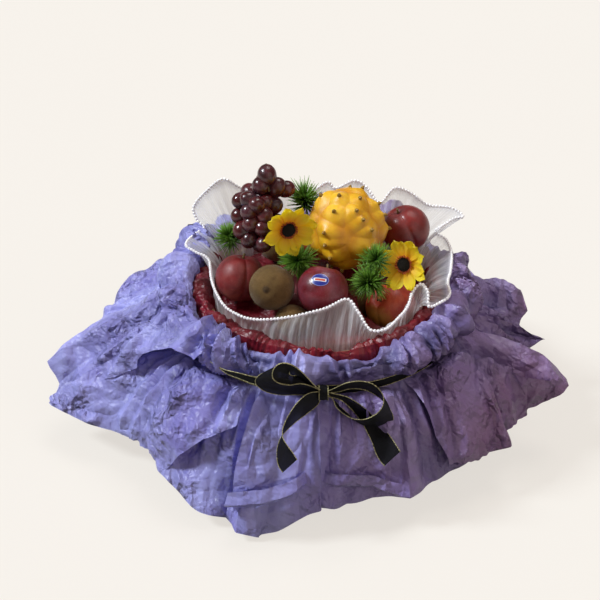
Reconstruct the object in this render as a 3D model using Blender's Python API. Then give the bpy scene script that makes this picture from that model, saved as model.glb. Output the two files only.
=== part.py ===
"""Fruit hatbox: a round box wrapped in crumpled tissue paper and filled with fruit.

The box stands on z = 0 with its axis on Z.  The front, where the bow is tied, faces -Y.
Lengths are in metres; azimuths are in degrees, anticlockwise from +X seen from above.
"""
import bmesh
import bpy
import math
from mathutils import Matrix, Vector

# ---------------------------------------------------------------- driving sizes
GAP = 0.0003                 # clearance between pieces that touch

BOX_RADIUS = 0.130           # hatbox
BOX_HEIGHT = 0.168
BOX_WALL = 0.0025
SIDES = 44                   # facets round the box and the tissue that lines it

NECK_RADIUS = 0.1630         # where the ribbon ties the wrap
NECK_LOW = 0.1385
NECK_HIGH = 0.1510
COLLAR_INNER = 0.1475        # gathered collar above the ribbon
COLLAR_OUTER = 0.1835
COLLAR_TOP = 0.1870
PAPER = 0.0024               # folded paper as one solid sheet

RING_OUTER = COLLAR_INNER - 0.0015   # dark red tissue between collar and tulle
RING_TOP = 0.1815
SEAT_HEIGHT = 0.1580         # where the tulle stands
SEAT_RADIUS = 0.1180

TULLE_BASE = 0.1222
TULLE_SHOULDER = 0.1855
TULLE_THICKNESS = 0.0011
PEARL_RADIUS = 0.0015

RIBBON_THICKNESS = 0.0009
RIBBON_WIDTH = 0.0115

# Hem of the wrap: azimuth, distance from the axis in mm, height in mm.
HEM = [
    (20, 219, 120), (30, 228, 112), (45, 230, 110), (60, 238, 104), (78, 246, 98),
    (95, 238, 104), (112, 248, 100), (130, 240, 108), (143, 236, 116), (154, 246, 120),
    (169, 260, 105), (176, 262, 96), (180.5, 290, 94), (185, 325, 85), (188, 307, 62),
    (190.5, 327, 46), (197, 290, 45), (203, 258, 40), (217, 240, 50), (227, 247, 36),
    (239, 250, 17), (247, 248, 11), (255, 259, 6), (261, 246, 7), (267, 225, 20),
    (274, 224, 30), (285, 222, 35), (298, 233, 35), (310, 238, 40), (324, 250, 50),
    (340, 257, 60), (345.5, 281, 74), (350.5, 247, 86), (355, 250, 92), (360.5, 271, 100),
    (365, 246, 108), (368, 259, 115), (372, 246, 124),
]

# Free edge of the tulle: azimuth on the seat, then azimuth, radius in mm, height in mm.
TULLE_EDGE = [
    (40, 42, 150, 240), (48, 48, 136, 247), (54, 54, 126, 226), (63, 63, 131, 238),
    (72, 70, 130, 246), (80, 80, 122, 236), (87, 85, 124, 243), (97, 98, 122, 226),
    (108, 110, 130, 238), (119, 121, 128, 226), (128, 133, 140, 248), (135, 138, 151, 259),
    (141, 142, 162, 250), (146, 146, 181, 222), (151, 148, 171, 208), (156, 151, 160, 203),
    (160, 156, 165, 200), (165, 164, 163, 201), (171, 168, 147, 200), (177, 174, 130, 199),
    (187, 189, 127, 197), (200, 203, 128, 197), (214, 217, 130, 194), (226, 230, 127, 193),
    (238, 241, 122, 197), (250, 253, 116, 203), (261, 263, 113, 209), (270, 273, 105, 211),
    (279, 284, 99, 213), (286, 290, 111, 204), (293, 295, 131, 194), (300, 300, 139, 193),
    (307, 309, 133, 195), (315, 319, 128, 199), (321, 327, 124, 206), (326, 330, 128, 211),
    (330, 331, 138, 207), (334, 332, 148, 199), (338, 335, 153, 198), (343, 339, 155, 198),
    (349, 347, 149, 199), (356, 357, 151, 199), (365, 370, 158, 200), (372, 379, 162, 201),
    (378, 384, 159, 204), (382, 386, 167, 212), (386, 388, 181, 218), (389, 390, 190, 217),
    (392, 393, 184, 222), (396, 397, 165, 225),
]

# Fruit: centre in mm.
DRAGON_FRUIT = (31, 15, 242)
KIWI_FRONT = (-53, -61, 209)
KIWI_LOW = (-31, -82, 179)
KIWI_SHADE = (43, -3, 152)
PLUM_FRONT = (3, -67, 210)
PLUM_BACK = (101, 44, 224)
NECTARINE_LEFT = (-90, -20, 197)
NECTARINE_RIGHT = (82, -34, 165)
NECTARINE_BACK = (2, 84, 192)          # the far side, finished with fruit of the same kinds
KIWI_BACK = (-50, 74, 190)
PLUM_FAR = (56, 74, 186)

# Grapes that give the bunch its outline: centre in mm.
GRAPES = [
    (-59, 20, 307), (-66, 15, 296), (-49, 20, 291), (-38, 24, 287), (-88, 12, 279),
    (-79, 4, 284), (-62, 8, 278), (-70, -4, 282), (-52, 12, 272), (-90, 8, 262),
    (-78, -4, 274), (-62, -6, 270), (-76, -8, 261), (-64, -12, 257), (-86, -3, 250),
    (-79, -12, 242), (-62, -18, 241), (-55, -8, 250), (-66, -8, 236), (-48, 4, 255),
    (-74, 10, 250), (-60, 8, 240),
]
GRAPE_RADIUS = 0.0102

# Ribbon: centre lines in mm.
KNOT = (4, -176, 148)
LOOP_LEFT = [(0, -175, 149), (-12, -184, 165), (-26, -190, 170), (-42, -190, 169), (-54, -188, 162),
             (-56, -190, 152), (-42, -192, 144), (-22, -187, 141), (0, -178, 146)]
LOOP_RIGHT = [(8, -177, 150), (22, -189, 159), (42, -191, 162), (60, -187, 156), (66, -184, 144),
              (58, -188, 131), (40, -195, 126), (22, -193, 134), (8, -180, 144)]
TAIL_LEFT = [(1, -178, 146), (-14, -189, 141), (-26, -199, 128), (-34, -211, 108), (-37, -224, 88),
             (-31, -233, 72)]
TAIL_RIGHT = [(8, -178, 145), (24, -191, 133), (42, -201, 115), (56, -209, 95), (66, -217, 76)]
END_LEFT = [(0, -177, 148), (-24, -181, 153), (-48, -185, 153), (-72, -180, 158), (-90, -171, 164)]


# ---------------------------------------------------------------- helpers
def clear_scene():
    for obj in list(bpy.data.objects):
        bpy.data.objects.remove(obj, do_unlink=True)


def material(name, colour, roughness=0.5):
    mat = bpy.data.materials.new(name)
    mat.use_nodes = True
    shader = mat.node_tree.nodes["Principled BSDF"]
    shader.inputs["Base Color"].default_value = (*colour, 1.0)
    shader.inputs["Roughness"].default_value = roughness
    shader.inputs["Metallic"].default_value = 0.0
    mat.diffuse_color = (*colour, 1.0)
    return mat


def add_object(name, verts, faces, mat, location=(0, 0, 0), smooth=True):
    mesh = bpy.data.meshes.new(name)
    mesh.from_pydata(verts, [], faces)
    mesh.validate()
    shell = bmesh.new()
    shell.from_mesh(mesh)
    bmesh.ops.recalc_face_normals(shell, faces=shell.faces)
    shell.to_mesh(mesh)
    shell.free()
    obj = bpy.data.objects.new(name, mesh)
    obj.location = location
    bpy.context.scene.collection.objects.link(obj)
    mesh.materials.append(mat)
    for polygon in mesh.polygons:
        polygon.use_smooth = smooth
    return obj


def mm(point):
    return Vector(point) * 0.001


def polar(radius, azimuth, z):
    angle = math.radians(azimuth)
    return Vector((radius * math.cos(angle), radius * math.sin(angle), z))


def wave(azimuth, cycles, phase=0.0):
    return math.sin(math.radians(azimuth) * cycles + phase)


def smooth_step(t):
    t = min(1.0, max(0.0, t))
    return t * t * (3 - 2 * t)


def periodic_table(table, azimuth):
    """Straight interpolation in a table whose first column is an azimuth that wraps."""
    start = table[0][0]
    azimuth = start + (azimuth - start) % 360
    rows = table + [(table[0][0] + 360, *table[0][1:])]
    for low, high in zip(rows, rows[1:]):
        if low[0] <= azimuth <= high[0]:
            t = (azimuth - low[0]) / (high[0] - low[0])
            return [a + (b - a) * t for a, b in zip(low[1:], high[1:])]
    return list(table[0][1:])


def ring_solid(name, sections, mat):
    """Closed solid swept round Z from closed sections, one list of points per azimuth."""
    count = len(sections)
    size = len(sections[0])
    verts = [point for section in sections for point in section]
    faces = []
    for i in range(count):
        j = (i + 1) % count
        for k in range(size):
            m = (k + 1) % size
            faces.append((i * size + k, j * size + k, j * size + m, i * size + m))
    return add_object(name, verts, faces, mat)


def catmull(points, steps, closed=False):
    """Points of a Catmull-Rom curve through the given points."""
    count = len(points)
    spans = count if closed else count - 1
    path = []
    for i in range(spans):
        if closed:
            a, b, c, d = (points[(i + n) % count] for n in (-1, 0, 1, 2))
        else:
            a, b, c, d = (points[min(max(i + n, 0), count - 1)] for n in (-1, 0, 1, 2))
        for s in range(steps):
            t = s / steps
            path.append(0.5 * ((2 * b) + (c - a) * t + (2 * a - 5 * b + 4 * c - d) * t * t
                               + (3 * b - a - 3 * c + d) * t ** 3))
    if not closed:
        path.append(points[-1].copy())
    return path


def star_body(name, centre, reach, mat, segments=14, rings=9, turn=None):
    """Closed body seen from its centre: reach(direction) gives the distance to its surface."""
    verts = []
    for i in range(1, rings):
        polar_angle = math.pi * i / rings
        for j in range(segments):
            turn_angle = 2 * math.pi * (j + 0.5 * (i % 2)) / segments
            direction = Vector((math.sin(polar_angle) * math.cos(turn_angle),
                                math.sin(polar_angle) * math.sin(turn_angle),
                                math.cos(polar_angle)))
            verts.append(direction * reach(direction))
    top = len(verts)
    verts.append(Vector((0, 0, reach(Vector((0, 0, 1))))))
    verts.append(Vector((0, 0, -reach(Vector((0, 0, -1))))))
    faces = []
    for i in range(rings - 2):
        for j in range(segments):
            k = (j + 1) % segments
            upper = i * segments
            lower = upper + segments
            if i % 2:
                faces.append((upper + j, lower + j, upper + k))
                faces.append((upper + k, lower + j, lower + k))
            else:
                faces.append((upper + j, lower + j, lower + k))
                faces.append((upper + j, lower + k, upper + k))
    for j in range(segments):
        k = (j + 1) % segments
        faces.append((top, j, k))
        last = (rings - 2) * segments
        faces.append((top + 1, last + k, last + j))
    if turn is not None:
        verts = [turn @ vert for vert in verts]
    return add_object(name, verts, faces, mat, location=centre)


def aim(direction):
    """Rotation that takes +Z to the direction."""
    return Vector(direction).to_track_quat("Z", "Y").to_matrix()


# ---------------------------------------------------------------- box and papers
def hatbox(mat):
    outer = BOX_RADIUS
    inner = BOX_RADIUS - BOX_WALL
    sides = SIDES
    verts = []
    for radius, z in ((outer, 0), (outer, BOX_HEIGHT), (inner, BOX_HEIGHT), (inner, BOX_WALL)):
        verts += [polar(radius, 360 * i / sides, z) for i in range(sides)]
    faces = []
    for level in range(3):
        for i in range(sides):
            j = (i + 1) % sides
            low = level * sides
            faces.append((low + i, low + j, low + sides + j, low + sides + i))
    faces.append(tuple(reversed(range(sides))))
    faces.append(tuple(range(3 * sides, 4 * sides)))
    return add_object("hatbox", verts, faces, mat, smooth=False)


def collar_fold(azimuth):
    """Uneven gathers of the collar, between -1 and 1."""
    return (0.55 * wave(azimuth, 21, 1.9 * wave(azimuth, 3, 0.4))
            + 0.45 * wave(azimuth, 13, 1.2 + 2.1 * wave(azimuth, 2)))


def skirt_fold(azimuth, t):
    """Pleats of the skirt: fine at the neck and wide towards the hem, in metres."""
    pleats = wave(azimuth, 19, 1.3 * wave(azimuth, 4, 0.7) + 1.1 * t)
    broad = wave(azimuth, 9, 0.8 + 1.7 * wave(azimuth, 2, 2.0))
    return 0.0034 * pleats * smooth_step(t * 5) * (1 - 0.5 * t) + 0.0052 * broad * smooth_step(t * 1.6)


def wrap_section(azimuth):
    """Closed section of the lilac wrap: gathered collar above, flared skirt below."""
    fold = collar_fold(azimuth)
    hem_radius, hem_height = (value * 0.001 for value in periodic_table(HEM, azimuth))
    swell = 0.0035 * fold
    lift = 0.0030 * collar_fold(azimuth + 5.5)
    outer = [
        (COLLAR_INNER, NECK_HIGH + 0.008),
        (COLLAR_INNER + 0.0004, COLLAR_TOP - 0.011 + 0.4 * lift),
        (COLLAR_INNER + 0.0085, COLLAR_TOP - 0.001 + lift),
        (COLLAR_OUTER - 0.014 + 0.3 * swell, COLLAR_TOP - 0.001 + lift),
        (COLLAR_OUTER - 0.003 + swell, COLLAR_TOP - 0.011 + 0.6 * lift),
        (COLLAR_OUTER - 0.003 + swell, NECK_HIGH + 0.012),
        (NECK_RADIUS + 0.008 + 0.5 * swell, NECK_HIGH + 0.0025),
        (NECK_RADIUS, NECK_HIGH),
        (NECK_RADIUS, NECK_LOW),
    ]
    rows = 5
    skirt = []
    for i in range(1, rows + 1):
        t = i / rows
        bulge = 0.010 * math.sin(math.pi * t)
        radius = NECK_RADIUS + (hem_radius - NECK_RADIUS) * t + bulge * 0.6
        z = NECK_LOW + (hem_height - NECK_LOW) * t + bulge
        push = skirt_fold(azimuth, t)
        skirt.append((radius + push, z + 0.5 * push * (1 - t)))
    under = []
    path = [(NECK_RADIUS, NECK_LOW)] + skirt
    for before, here, after in zip(path, path[1:], path[2:] + [path[-1]]):
        run = Vector((after[0] - before[0], after[1] - before[1])).normalized()
        under.append((here[0] + run.y * PAPER, max(here[1] - run.x * PAPER, 0.0015)))
    under.reverse()
    inside = [(NECK_RADIUS - 0.0035, NECK_LOW - 0.0035), (COLLAR_INNER, NECK_LOW - 0.001)]
    return [polar(radius, azimuth, z) for radius, z in outer + skirt + under + inside]


def lilac_wrap(mat):
    azimuths = sorted({round(value, 3) for value in
                       [i * 360 / 58 for i in range(58)] + [row[0] % 360 for row in HEM]})
    kept = [azimuths[0]]
    corners = {round(row[0] % 360, 3) for row in HEM}
    for value in azimuths[1:]:
        if value - kept[-1] >= 2.6:
            kept.append(value)
        elif value in corners:
            kept[-1] = value
    return ring_solid("lilac_wrap", [wrap_section(azimuth) for azimuth in kept], mat)


def fruit_bodies():
    """Centre and lowest reach of every fruit that the filling carries, in metres."""
    return [(mm(DRAGON_FRUIT), 0.0465), (mm(KIWI_FRONT), 0.0265), (mm(KIWI_LOW), 0.0195),
            (mm(KIWI_SHADE), 0.0210), (mm(PLUM_FRONT), 0.0286), (mm(PLUM_BACK), 0.0266),
            (mm(NECTARINE_LEFT), 0.0276), (mm(NECTARINE_RIGHT), 0.0296),
            (mm(NECTARINE_BACK), 0.0286), (mm(KIWI_BACK), 0.0245), (mm(PLUM_FAR), 0.0241),
            (mm(GRAPES[18]), 0.0160), (mm(GRAPES[16]), 0.0150), (mm(GRAPES[15]), 0.0150)]


def mound_height(x, y):
    """Top of the filling: it carries each fruit on a small level spot."""
    centre_distance = math.hypot(x, y)
    height = 0.196 - 0.028 * smooth_step(centre_distance / 0.105)
    for centre, reach in fruit_bodies():
        distance = max(0.0, math.hypot(x - centre.x, y - centre.y) - 0.017)
        if distance < reach:
            height = min(height, centre.z - math.sqrt(reach * reach - distance * distance) - GAP)
    return height


def tissue_section(azimuth, fold_rows):
    """Section of the dark red tissue from the middle of the mound over the box's rim."""
    fold = 0.6 * wave(azimuth, 17, 1.5 * wave(azimuth, 3)) + 0.4 * wave(azimuth, 11, 0.9)
    crest = RING_TOP + 0.0022 * fold
    wall_in = BOX_RADIUS - BOX_WALL - GAP
    wall_out = BOX_RADIUS + GAP
    direction = polar(1.0, azimuth, 0)
    profile = []
    for i in range(1, fold_rows + 1):
        radius = SEAT_RADIUS * i / fold_rows
        height = mound_height(radius * direction.x, radius * direction.y)
        if i == fold_rows:
            height = min(height, SEAT_HEIGHT)
        profile.append((radius, height))
    profile += [
        (TULLE_BASE + 0.0018, SEAT_HEIGHT),
        (TULLE_BASE + 0.0036, BOX_HEIGHT + 0.0030),
        (BOX_RADIUS - 0.0005, crest - 0.0030),
        (BOX_RADIUS + 0.0050, crest),
        (RING_OUTER - 0.0030, crest - 0.002),
        (RING_OUTER - 0.0003, crest - 0.009),
        (RING_OUTER, NECK_HIGH),
        (RING_OUTER - 0.0015, NECK_LOW - 0.010),
        (wall_out, NECK_LOW - 0.012),
        (wall_out, BOX_HEIGHT + GAP),
        (wall_in, BOX_HEIGHT + GAP),
        (wall_in, BOX_WALL + GAP),
    ]
    return [polar(radius, azimuth, z) for radius, z in profile]


def red_tissue(mat):
    count = SIDES
    rows = 6
    sections = [tissue_section(360 * i / count, rows) for i in range(count)]
    size = len(sections[0])
    verts = [point for section in sections for point in section]
    faces = []
    for i in range(count):
        j = (i + 1) % count
        for k in range(size - 1):
            faces.append((i * size + k, i * size + k + 1, j * size + k + 1, j * size + k))
    top = len(verts)
    verts.append(Vector((0, 0, mound_height(0, 0))))
    verts.append(Vector((0, 0, BOX_WALL + GAP)))
    for i in range(count):
        j = (i + 1) % count
        faces.append((top, i * size, j * size))
        faces.append((top + 1, j * size + size - 1, i * size + size - 1))
    return add_object("red_tissue", verts, faces, mat)


def softened(path):
    """The closed path with its sharp turns eased."""
    return [0.25 * path[i - 1] + 0.5 * path[i] + 0.25 * path[(i + 1) % len(path)]
            for i in range(len(path))]


def tulle_lines():
    """Base line and free edge of the ruffle, point by point."""
    base = [polar(TULLE_BASE, row[0], SEAT_HEIGHT + GAP) for row in TULLE_EDGE]
    edge = [polar(row[2] * 0.001, row[1], row[3] * 0.001) for row in TULLE_EDGE]
    return base, softened(edge)


def tulle_ruffle(mat):
    """Gathered tulle: upright where the red tissue holds it, then leaning to its free edge."""
    base, edge = tulle_lines()
    count = len(base)
    half = TULLE_THICKNESS / 2
    sections = []
    for i in range(count):
        foot = base[i]
        out = Vector((foot.x, foot.y, 0)).normalized()
        shoulder = foot + Vector((0, 0, TULLE_SHOULDER - foot.z)) + out * 0.0004
        along = (edge[(i + 1) % count] - edge[i - 1]).normalized()
        rise = (edge[i] - shoulder).normalized() + Vector((0, 0, 0.8))
        rise = (rise - along * rise.dot(along)).normalized()
        tip = edge[i] - rise * (PEARL_RADIUS + 0.0010)
        side = along.cross(rise).normalized()
        bend = (out + side * 0.5 + Vector((0, 0, -0.4))).normalized()
        sections.append([foot - out * half, shoulder - bend * half, tip - side * half,
                         tip + side * half, shoulder + bend * half, foot + out * half])
    return ring_solid("tulle_ruffle", sections, mat)


def pearl_strand(mat):
    """The strand along the ruffle's free edge, as one round cord."""
    path = tulle_lines()[1]
    count = len(path)
    sections = []
    for i in range(count):
        along = (path[(i + 1) % count] - path[i - 1]).normalized()
        side = along.cross(Vector((0, 0, 1))).normalized()
        up = side.cross(along).normalized()
        ring = []
        for k in range(4):
            angle = math.radians(45 + 90 * k)
            ring.append(path[i] + (side * math.cos(angle) + up * math.sin(angle)) * PEARL_RADIUS)
        sections.append(ring)
    return ring_solid("pearl_strand", sections, mat)


# ---------------------------------------------------------------- fruit
def ellipsoid_reach(across, along):
    def reach(direction):
        flat = direction.x ** 2 + direction.y ** 2
        return 1 / math.sqrt(flat / across ** 2 + direction.z ** 2 / along ** 2)
    return reach


def kiwi(name, centre, across, along, direction, mat):
    return star_body(name, mm(centre), ellipsoid_reach(across, along), mat, turn=aim(direction))


def stone_fruit_reach(radius, cleft):
    """Round fruit with a dimple at the stem (+Z) and a cleft down one side (+X)."""
    def reach(direction):
        side = math.atan2(direction.y, direction.x)
        waist = math.sqrt(max(0.0, 1 - direction.z ** 2))
        dimple = 0.16 * math.exp(-((1 - direction.z) / 0.035))
        groove = cleft * math.exp(-(side / 0.30) ** 2) * waist
        return radius * (1 - dimple - groove - 0.03 * direction.z ** 2)
    return reach


def stone_fruit(name, centre, radius, cleft, direction, spin, mat):
    turn = aim(direction) @ Matrix.Rotation(math.radians(spin), 3, "Z")
    return star_body(name, mm(centre), stone_fruit_reach(radius, cleft), mat,
                     segments=15, rings=9, turn=turn)


def dragon_fruit(mat):
    """Yellow pitahaya: oval, with rows of blunt bumps that end in small scale tips."""
    bumps = []
    for row in range(-2, 3):
        height = 0.36 * row
        waist = math.sqrt(1 - height ** 2)
        count = (3, 5, 6, 5, 4)[row + 2]
        for k in range(count):
            angle = 2 * math.pi * (k + 0.5 * (row % 2)) / count
            bumps.append(Vector((waist * math.cos(angle), waist * math.sin(angle), height)))
    oval = ellipsoid_reach(0.0430, 0.0480)

    def reach(direction):
        nearest = max(bump.dot(direction) for bump in bumps)
        rise = math.exp(-((1 - nearest) / 0.030))
        return oval(direction) * (0.950 + 0.120 * rise)

    return star_body("dragon_fruit", mm(DRAGON_FRUIT), reach, mat, segments=26, rings=16,
                     turn=aim((0.50, -0.62, -0.60)))


def grape_bunch(mat):
    """The bunch as one lumpy body: from its stalk line outward to the outermost grape."""
    grapes = [mm(grape) for grape in GRAPES]
    spine = [mm((-59, 20, 307)), mm((-66, 10, 285)), mm((-69, 3, 265)), mm((-66, -4, 246)),
             mm((-66, -8, 236))]
    path = catmull(spine, 3)
    segments = 20

    def reach(origin, direction):
        farthest = 0.004
        for grape in grapes:
            offset = grape - origin
            ahead = offset.dot(direction)
            miss = offset.length_squared - ahead * ahead
            if miss < GRAPE_RADIUS ** 2:
                farthest = max(farthest, ahead + math.sqrt(GRAPE_RADIUS ** 2 - miss))
        return farthest

    verts = []
    for point in path:
        for k in range(segments):
            angle = 2 * math.pi * k / segments
            direction = Vector((math.cos(angle), math.sin(angle), 0))
            verts.append(point + direction * min(reach(point, direction), 0.034))
    faces = []
    for i in range(len(path) - 1):
        for k in range(segments):
            m = (k + 1) % segments
            low = (i + 1) * segments
            high = i * segments
            faces.append((high + k, low + k, low + m, high + m))
    top = len(verts)
    verts.append(path[0] + Vector((0, 0, reach(path[0], Vector((0, 0, 1))))))
    verts.append(path[-1] + Vector((0, 0, -reach(path[-1], Vector((0, 0, -1))))))
    last = (len(path) - 1) * segments
    for k in range(segments):
        m = (k + 1) % segments
        faces.append((top, k, m))
        faces.append((top + 1, last + m, last + k))
    return add_object("grape_bunch", verts, faces, mat)


# ---------------------------------------------------------------- flowers and greenery
def flower(name, centre, radius, direction, petals, spin, petal_mat, eye_mat):
    """Daisy: one solid of joined petals, slightly cupped, and a domed dark eye on it."""
    eye_radius = 0.0085
    columns = petals * 4
    rows = (0.0, 0.55, 1.0)
    thick = 0.0012
    verts = []
    for side in (1, -1):
        for i in range(columns):
            angle = 2 * math.pi * i / columns
            tip = (0.80, 0.96, 1.0, 0.93)[i % 4]
            tip *= 1 + 0.07 * math.sin(5.0 * angle + 0.8) + 0.05 * math.sin(3 * angle)
            for t in rows:
                reach = eye_radius * 0.7 + (radius * tip - eye_radius * 0.7) * t
                lift = 0.0050 * t * t + 0.0012 * math.sin(4 * angle) * t - 0.002 * (i % 4 == 0) * t
                half = thick * (0.5 - 0.2 * t)
                verts.append(Vector((reach * math.cos(angle), reach * math.sin(angle),
                                     lift + side * half)))
    size = len(rows)
    back = columns * size
    faces = []
    for i in range(columns):
        j = (i + 1) % columns
        for k in range(size - 1):
            faces.append((i * size + k, i * size + k + 1, j * size + k + 1, j * size + k))
            faces.append((back + i * size + k, back + j * size + k,
                          back + j * size + k + 1, back + i * size + k + 1))
        faces.append((i * size + size - 1, back + i * size + size - 1,
                      back + j * size + size - 1, j * size + size - 1))
    faces.append(tuple(i * size for i in range(columns)))
    faces.append(tuple(back + i * size for i in reversed(range(columns))))
    turn = aim(direction) @ Matrix.Rotation(math.radians(spin), 3, "Z")
    petal_ring = add_object(name + "_petals", [turn @ vert for vert in verts], faces, petal_mat,
                            location=mm(centre))

    sides = 12
    levels = ((1.0, 0.0), (0.95, 0.0022), (0.6, 0.0045))
    dome = []
    for share, height in levels:
        for i in range(sides):
            angle = 2 * math.pi * i / sides
            dome.append(Vector((eye_radius * 0.68 * share * math.cos(angle),
                                eye_radius * 0.68 * share * math.sin(angle),
                                thick / 2 + GAP + height)))
    dome_faces = []
    for level in range(len(levels) - 1):
        for i in range(sides):
            j = (i + 1) % sides
            low = level * sides
            dome_faces.append((low + i, low + j, low + sides + j, low + sides + i))
    dome_faces.append(tuple(reversed(range(sides))))
    dome_faces.append(tuple(range((len(levels) - 1) * sides, len(levels) * sides)))
    eye = add_object(name + "_eye", [turn @ vert for vert in dome], dome_faces, eye_mat,
                     location=mm(centre))
    return petal_ring, eye


def sprig(name, centre, radius, direction, mat):
    """A tuft of fir needles as one spiky body."""
    def reach(direction):
        side = math.atan2(direction.y, direction.x)
        level = math.acos(max(-1.0, min(1.0, direction.z)))
        spikes = math.cos(7 * side) * math.cos(5 * level)
        return radius * (0.84 + 0.13 * spikes)
    return star_body(name, mm(centre), reach, mat, segments=12, rings=7, turn=aim(direction))


# ---------------------------------------------------------------- ribbon
def ribbon_band(mat):
    """The ribbon round the neck of the wrap."""
    inner = NECK_RADIUS + 0.0008
    outer = inner + RIBBON_THICKNESS
    low = NECK_LOW + 0.0010
    high = NECK_HIGH - 0.0010
    sections = []
    sides = 48
    for i in range(sides):
        azimuth = 360 * i / sides
        sections.append([polar(inner, azimuth, low), polar(outer, azimuth, low),
                         polar(outer, azimuth, high), polar(inner, azimuth, high)])
    return ring_solid("ribbon_band", sections, mat)


def ribbon_strip(name, points, width, lean, mat):
    """A length of ribbon along a curve: its width follows the lean direction."""
    path = catmull([mm(point) for point in points], 2)
    verts = []
    for i, point in enumerate(path):
        t = i / (len(path) - 1)
        along = (path[min(i + 1, len(path) - 1)] - path[max(i - 1, 0)]).normalized()
        across = lean(t)
        across = (across - along * across.dot(along)).normalized()
        normal = along.cross(across).normalized()
        half = width * (0.42 + 0.58 * smooth_step(min(t, 1 - t if name.startswith("loop") else t) * 4))
        for a, b in ((-1, -1), (1, -1), (1, 1), (-1, 1)):
            verts.append(point + across * a * half / 2 + normal * b * RIBBON_THICKNESS / 2)
    faces = []
    for i in range(len(path) - 1):
        for k in range(4):
            m = (k + 1) % 4
            faces.append((i * 4 + k, i * 4 + m, i * 4 + 4 + m, i * 4 + 4 + k))
    faces.append((3, 2, 1, 0))
    last = (len(path) - 1) * 4
    faces.append((last, last + 1, last + 2, last + 3))
    return add_object(name, verts, faces, mat, smooth=False)


def ribbon_bow(mat):
    """The bow: a knot, two loops, two tails and a folded end, joined into one solid."""
    centre = mm(KNOT)
    knot = star_body("ribbon_bow", (0, 0, 0), ellipsoid_reach(0.0070, 0.0062), mat,
                     segments=10, rings=6)
    for vertex in knot.data.vertices:
        vertex.co = vertex.co + centre
    strips = [
        ribbon_strip("loop_left", LOOP_LEFT, RIBBON_WIDTH, lambda t: Vector((0.15, -0.55, 0.8)), mat),
        ribbon_strip("loop_right", LOOP_RIGHT, RIBBON_WIDTH, lambda t: Vector((0.1, 0.9, 0.35)), mat),
        ribbon_strip("tail_left", TAIL_LEFT, RIBBON_WIDTH, lambda t: Vector((0.9, -0.4 * t, 0.35)), mat),
        ribbon_strip("tail_right", TAIL_RIGHT, RIBBON_WIDTH * 1.3,
                     lambda t: Vector((0.75, 0.1, 0.55)), mat),
        ribbon_strip("end_left", END_LEFT, RIBBON_WIDTH, lambda t: Vector((0.1, -0.2, 1.0)), mat),
    ]
    for strip in strips:
        strip.hide_render = True
        strip.display_type = "WIRE"
        joint = knot.modifiers.new(strip.name, "BOOLEAN")
        joint.operation = "UNION"
        joint.solver = "EXACT"
        joint.object = strip
    return knot


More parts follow.
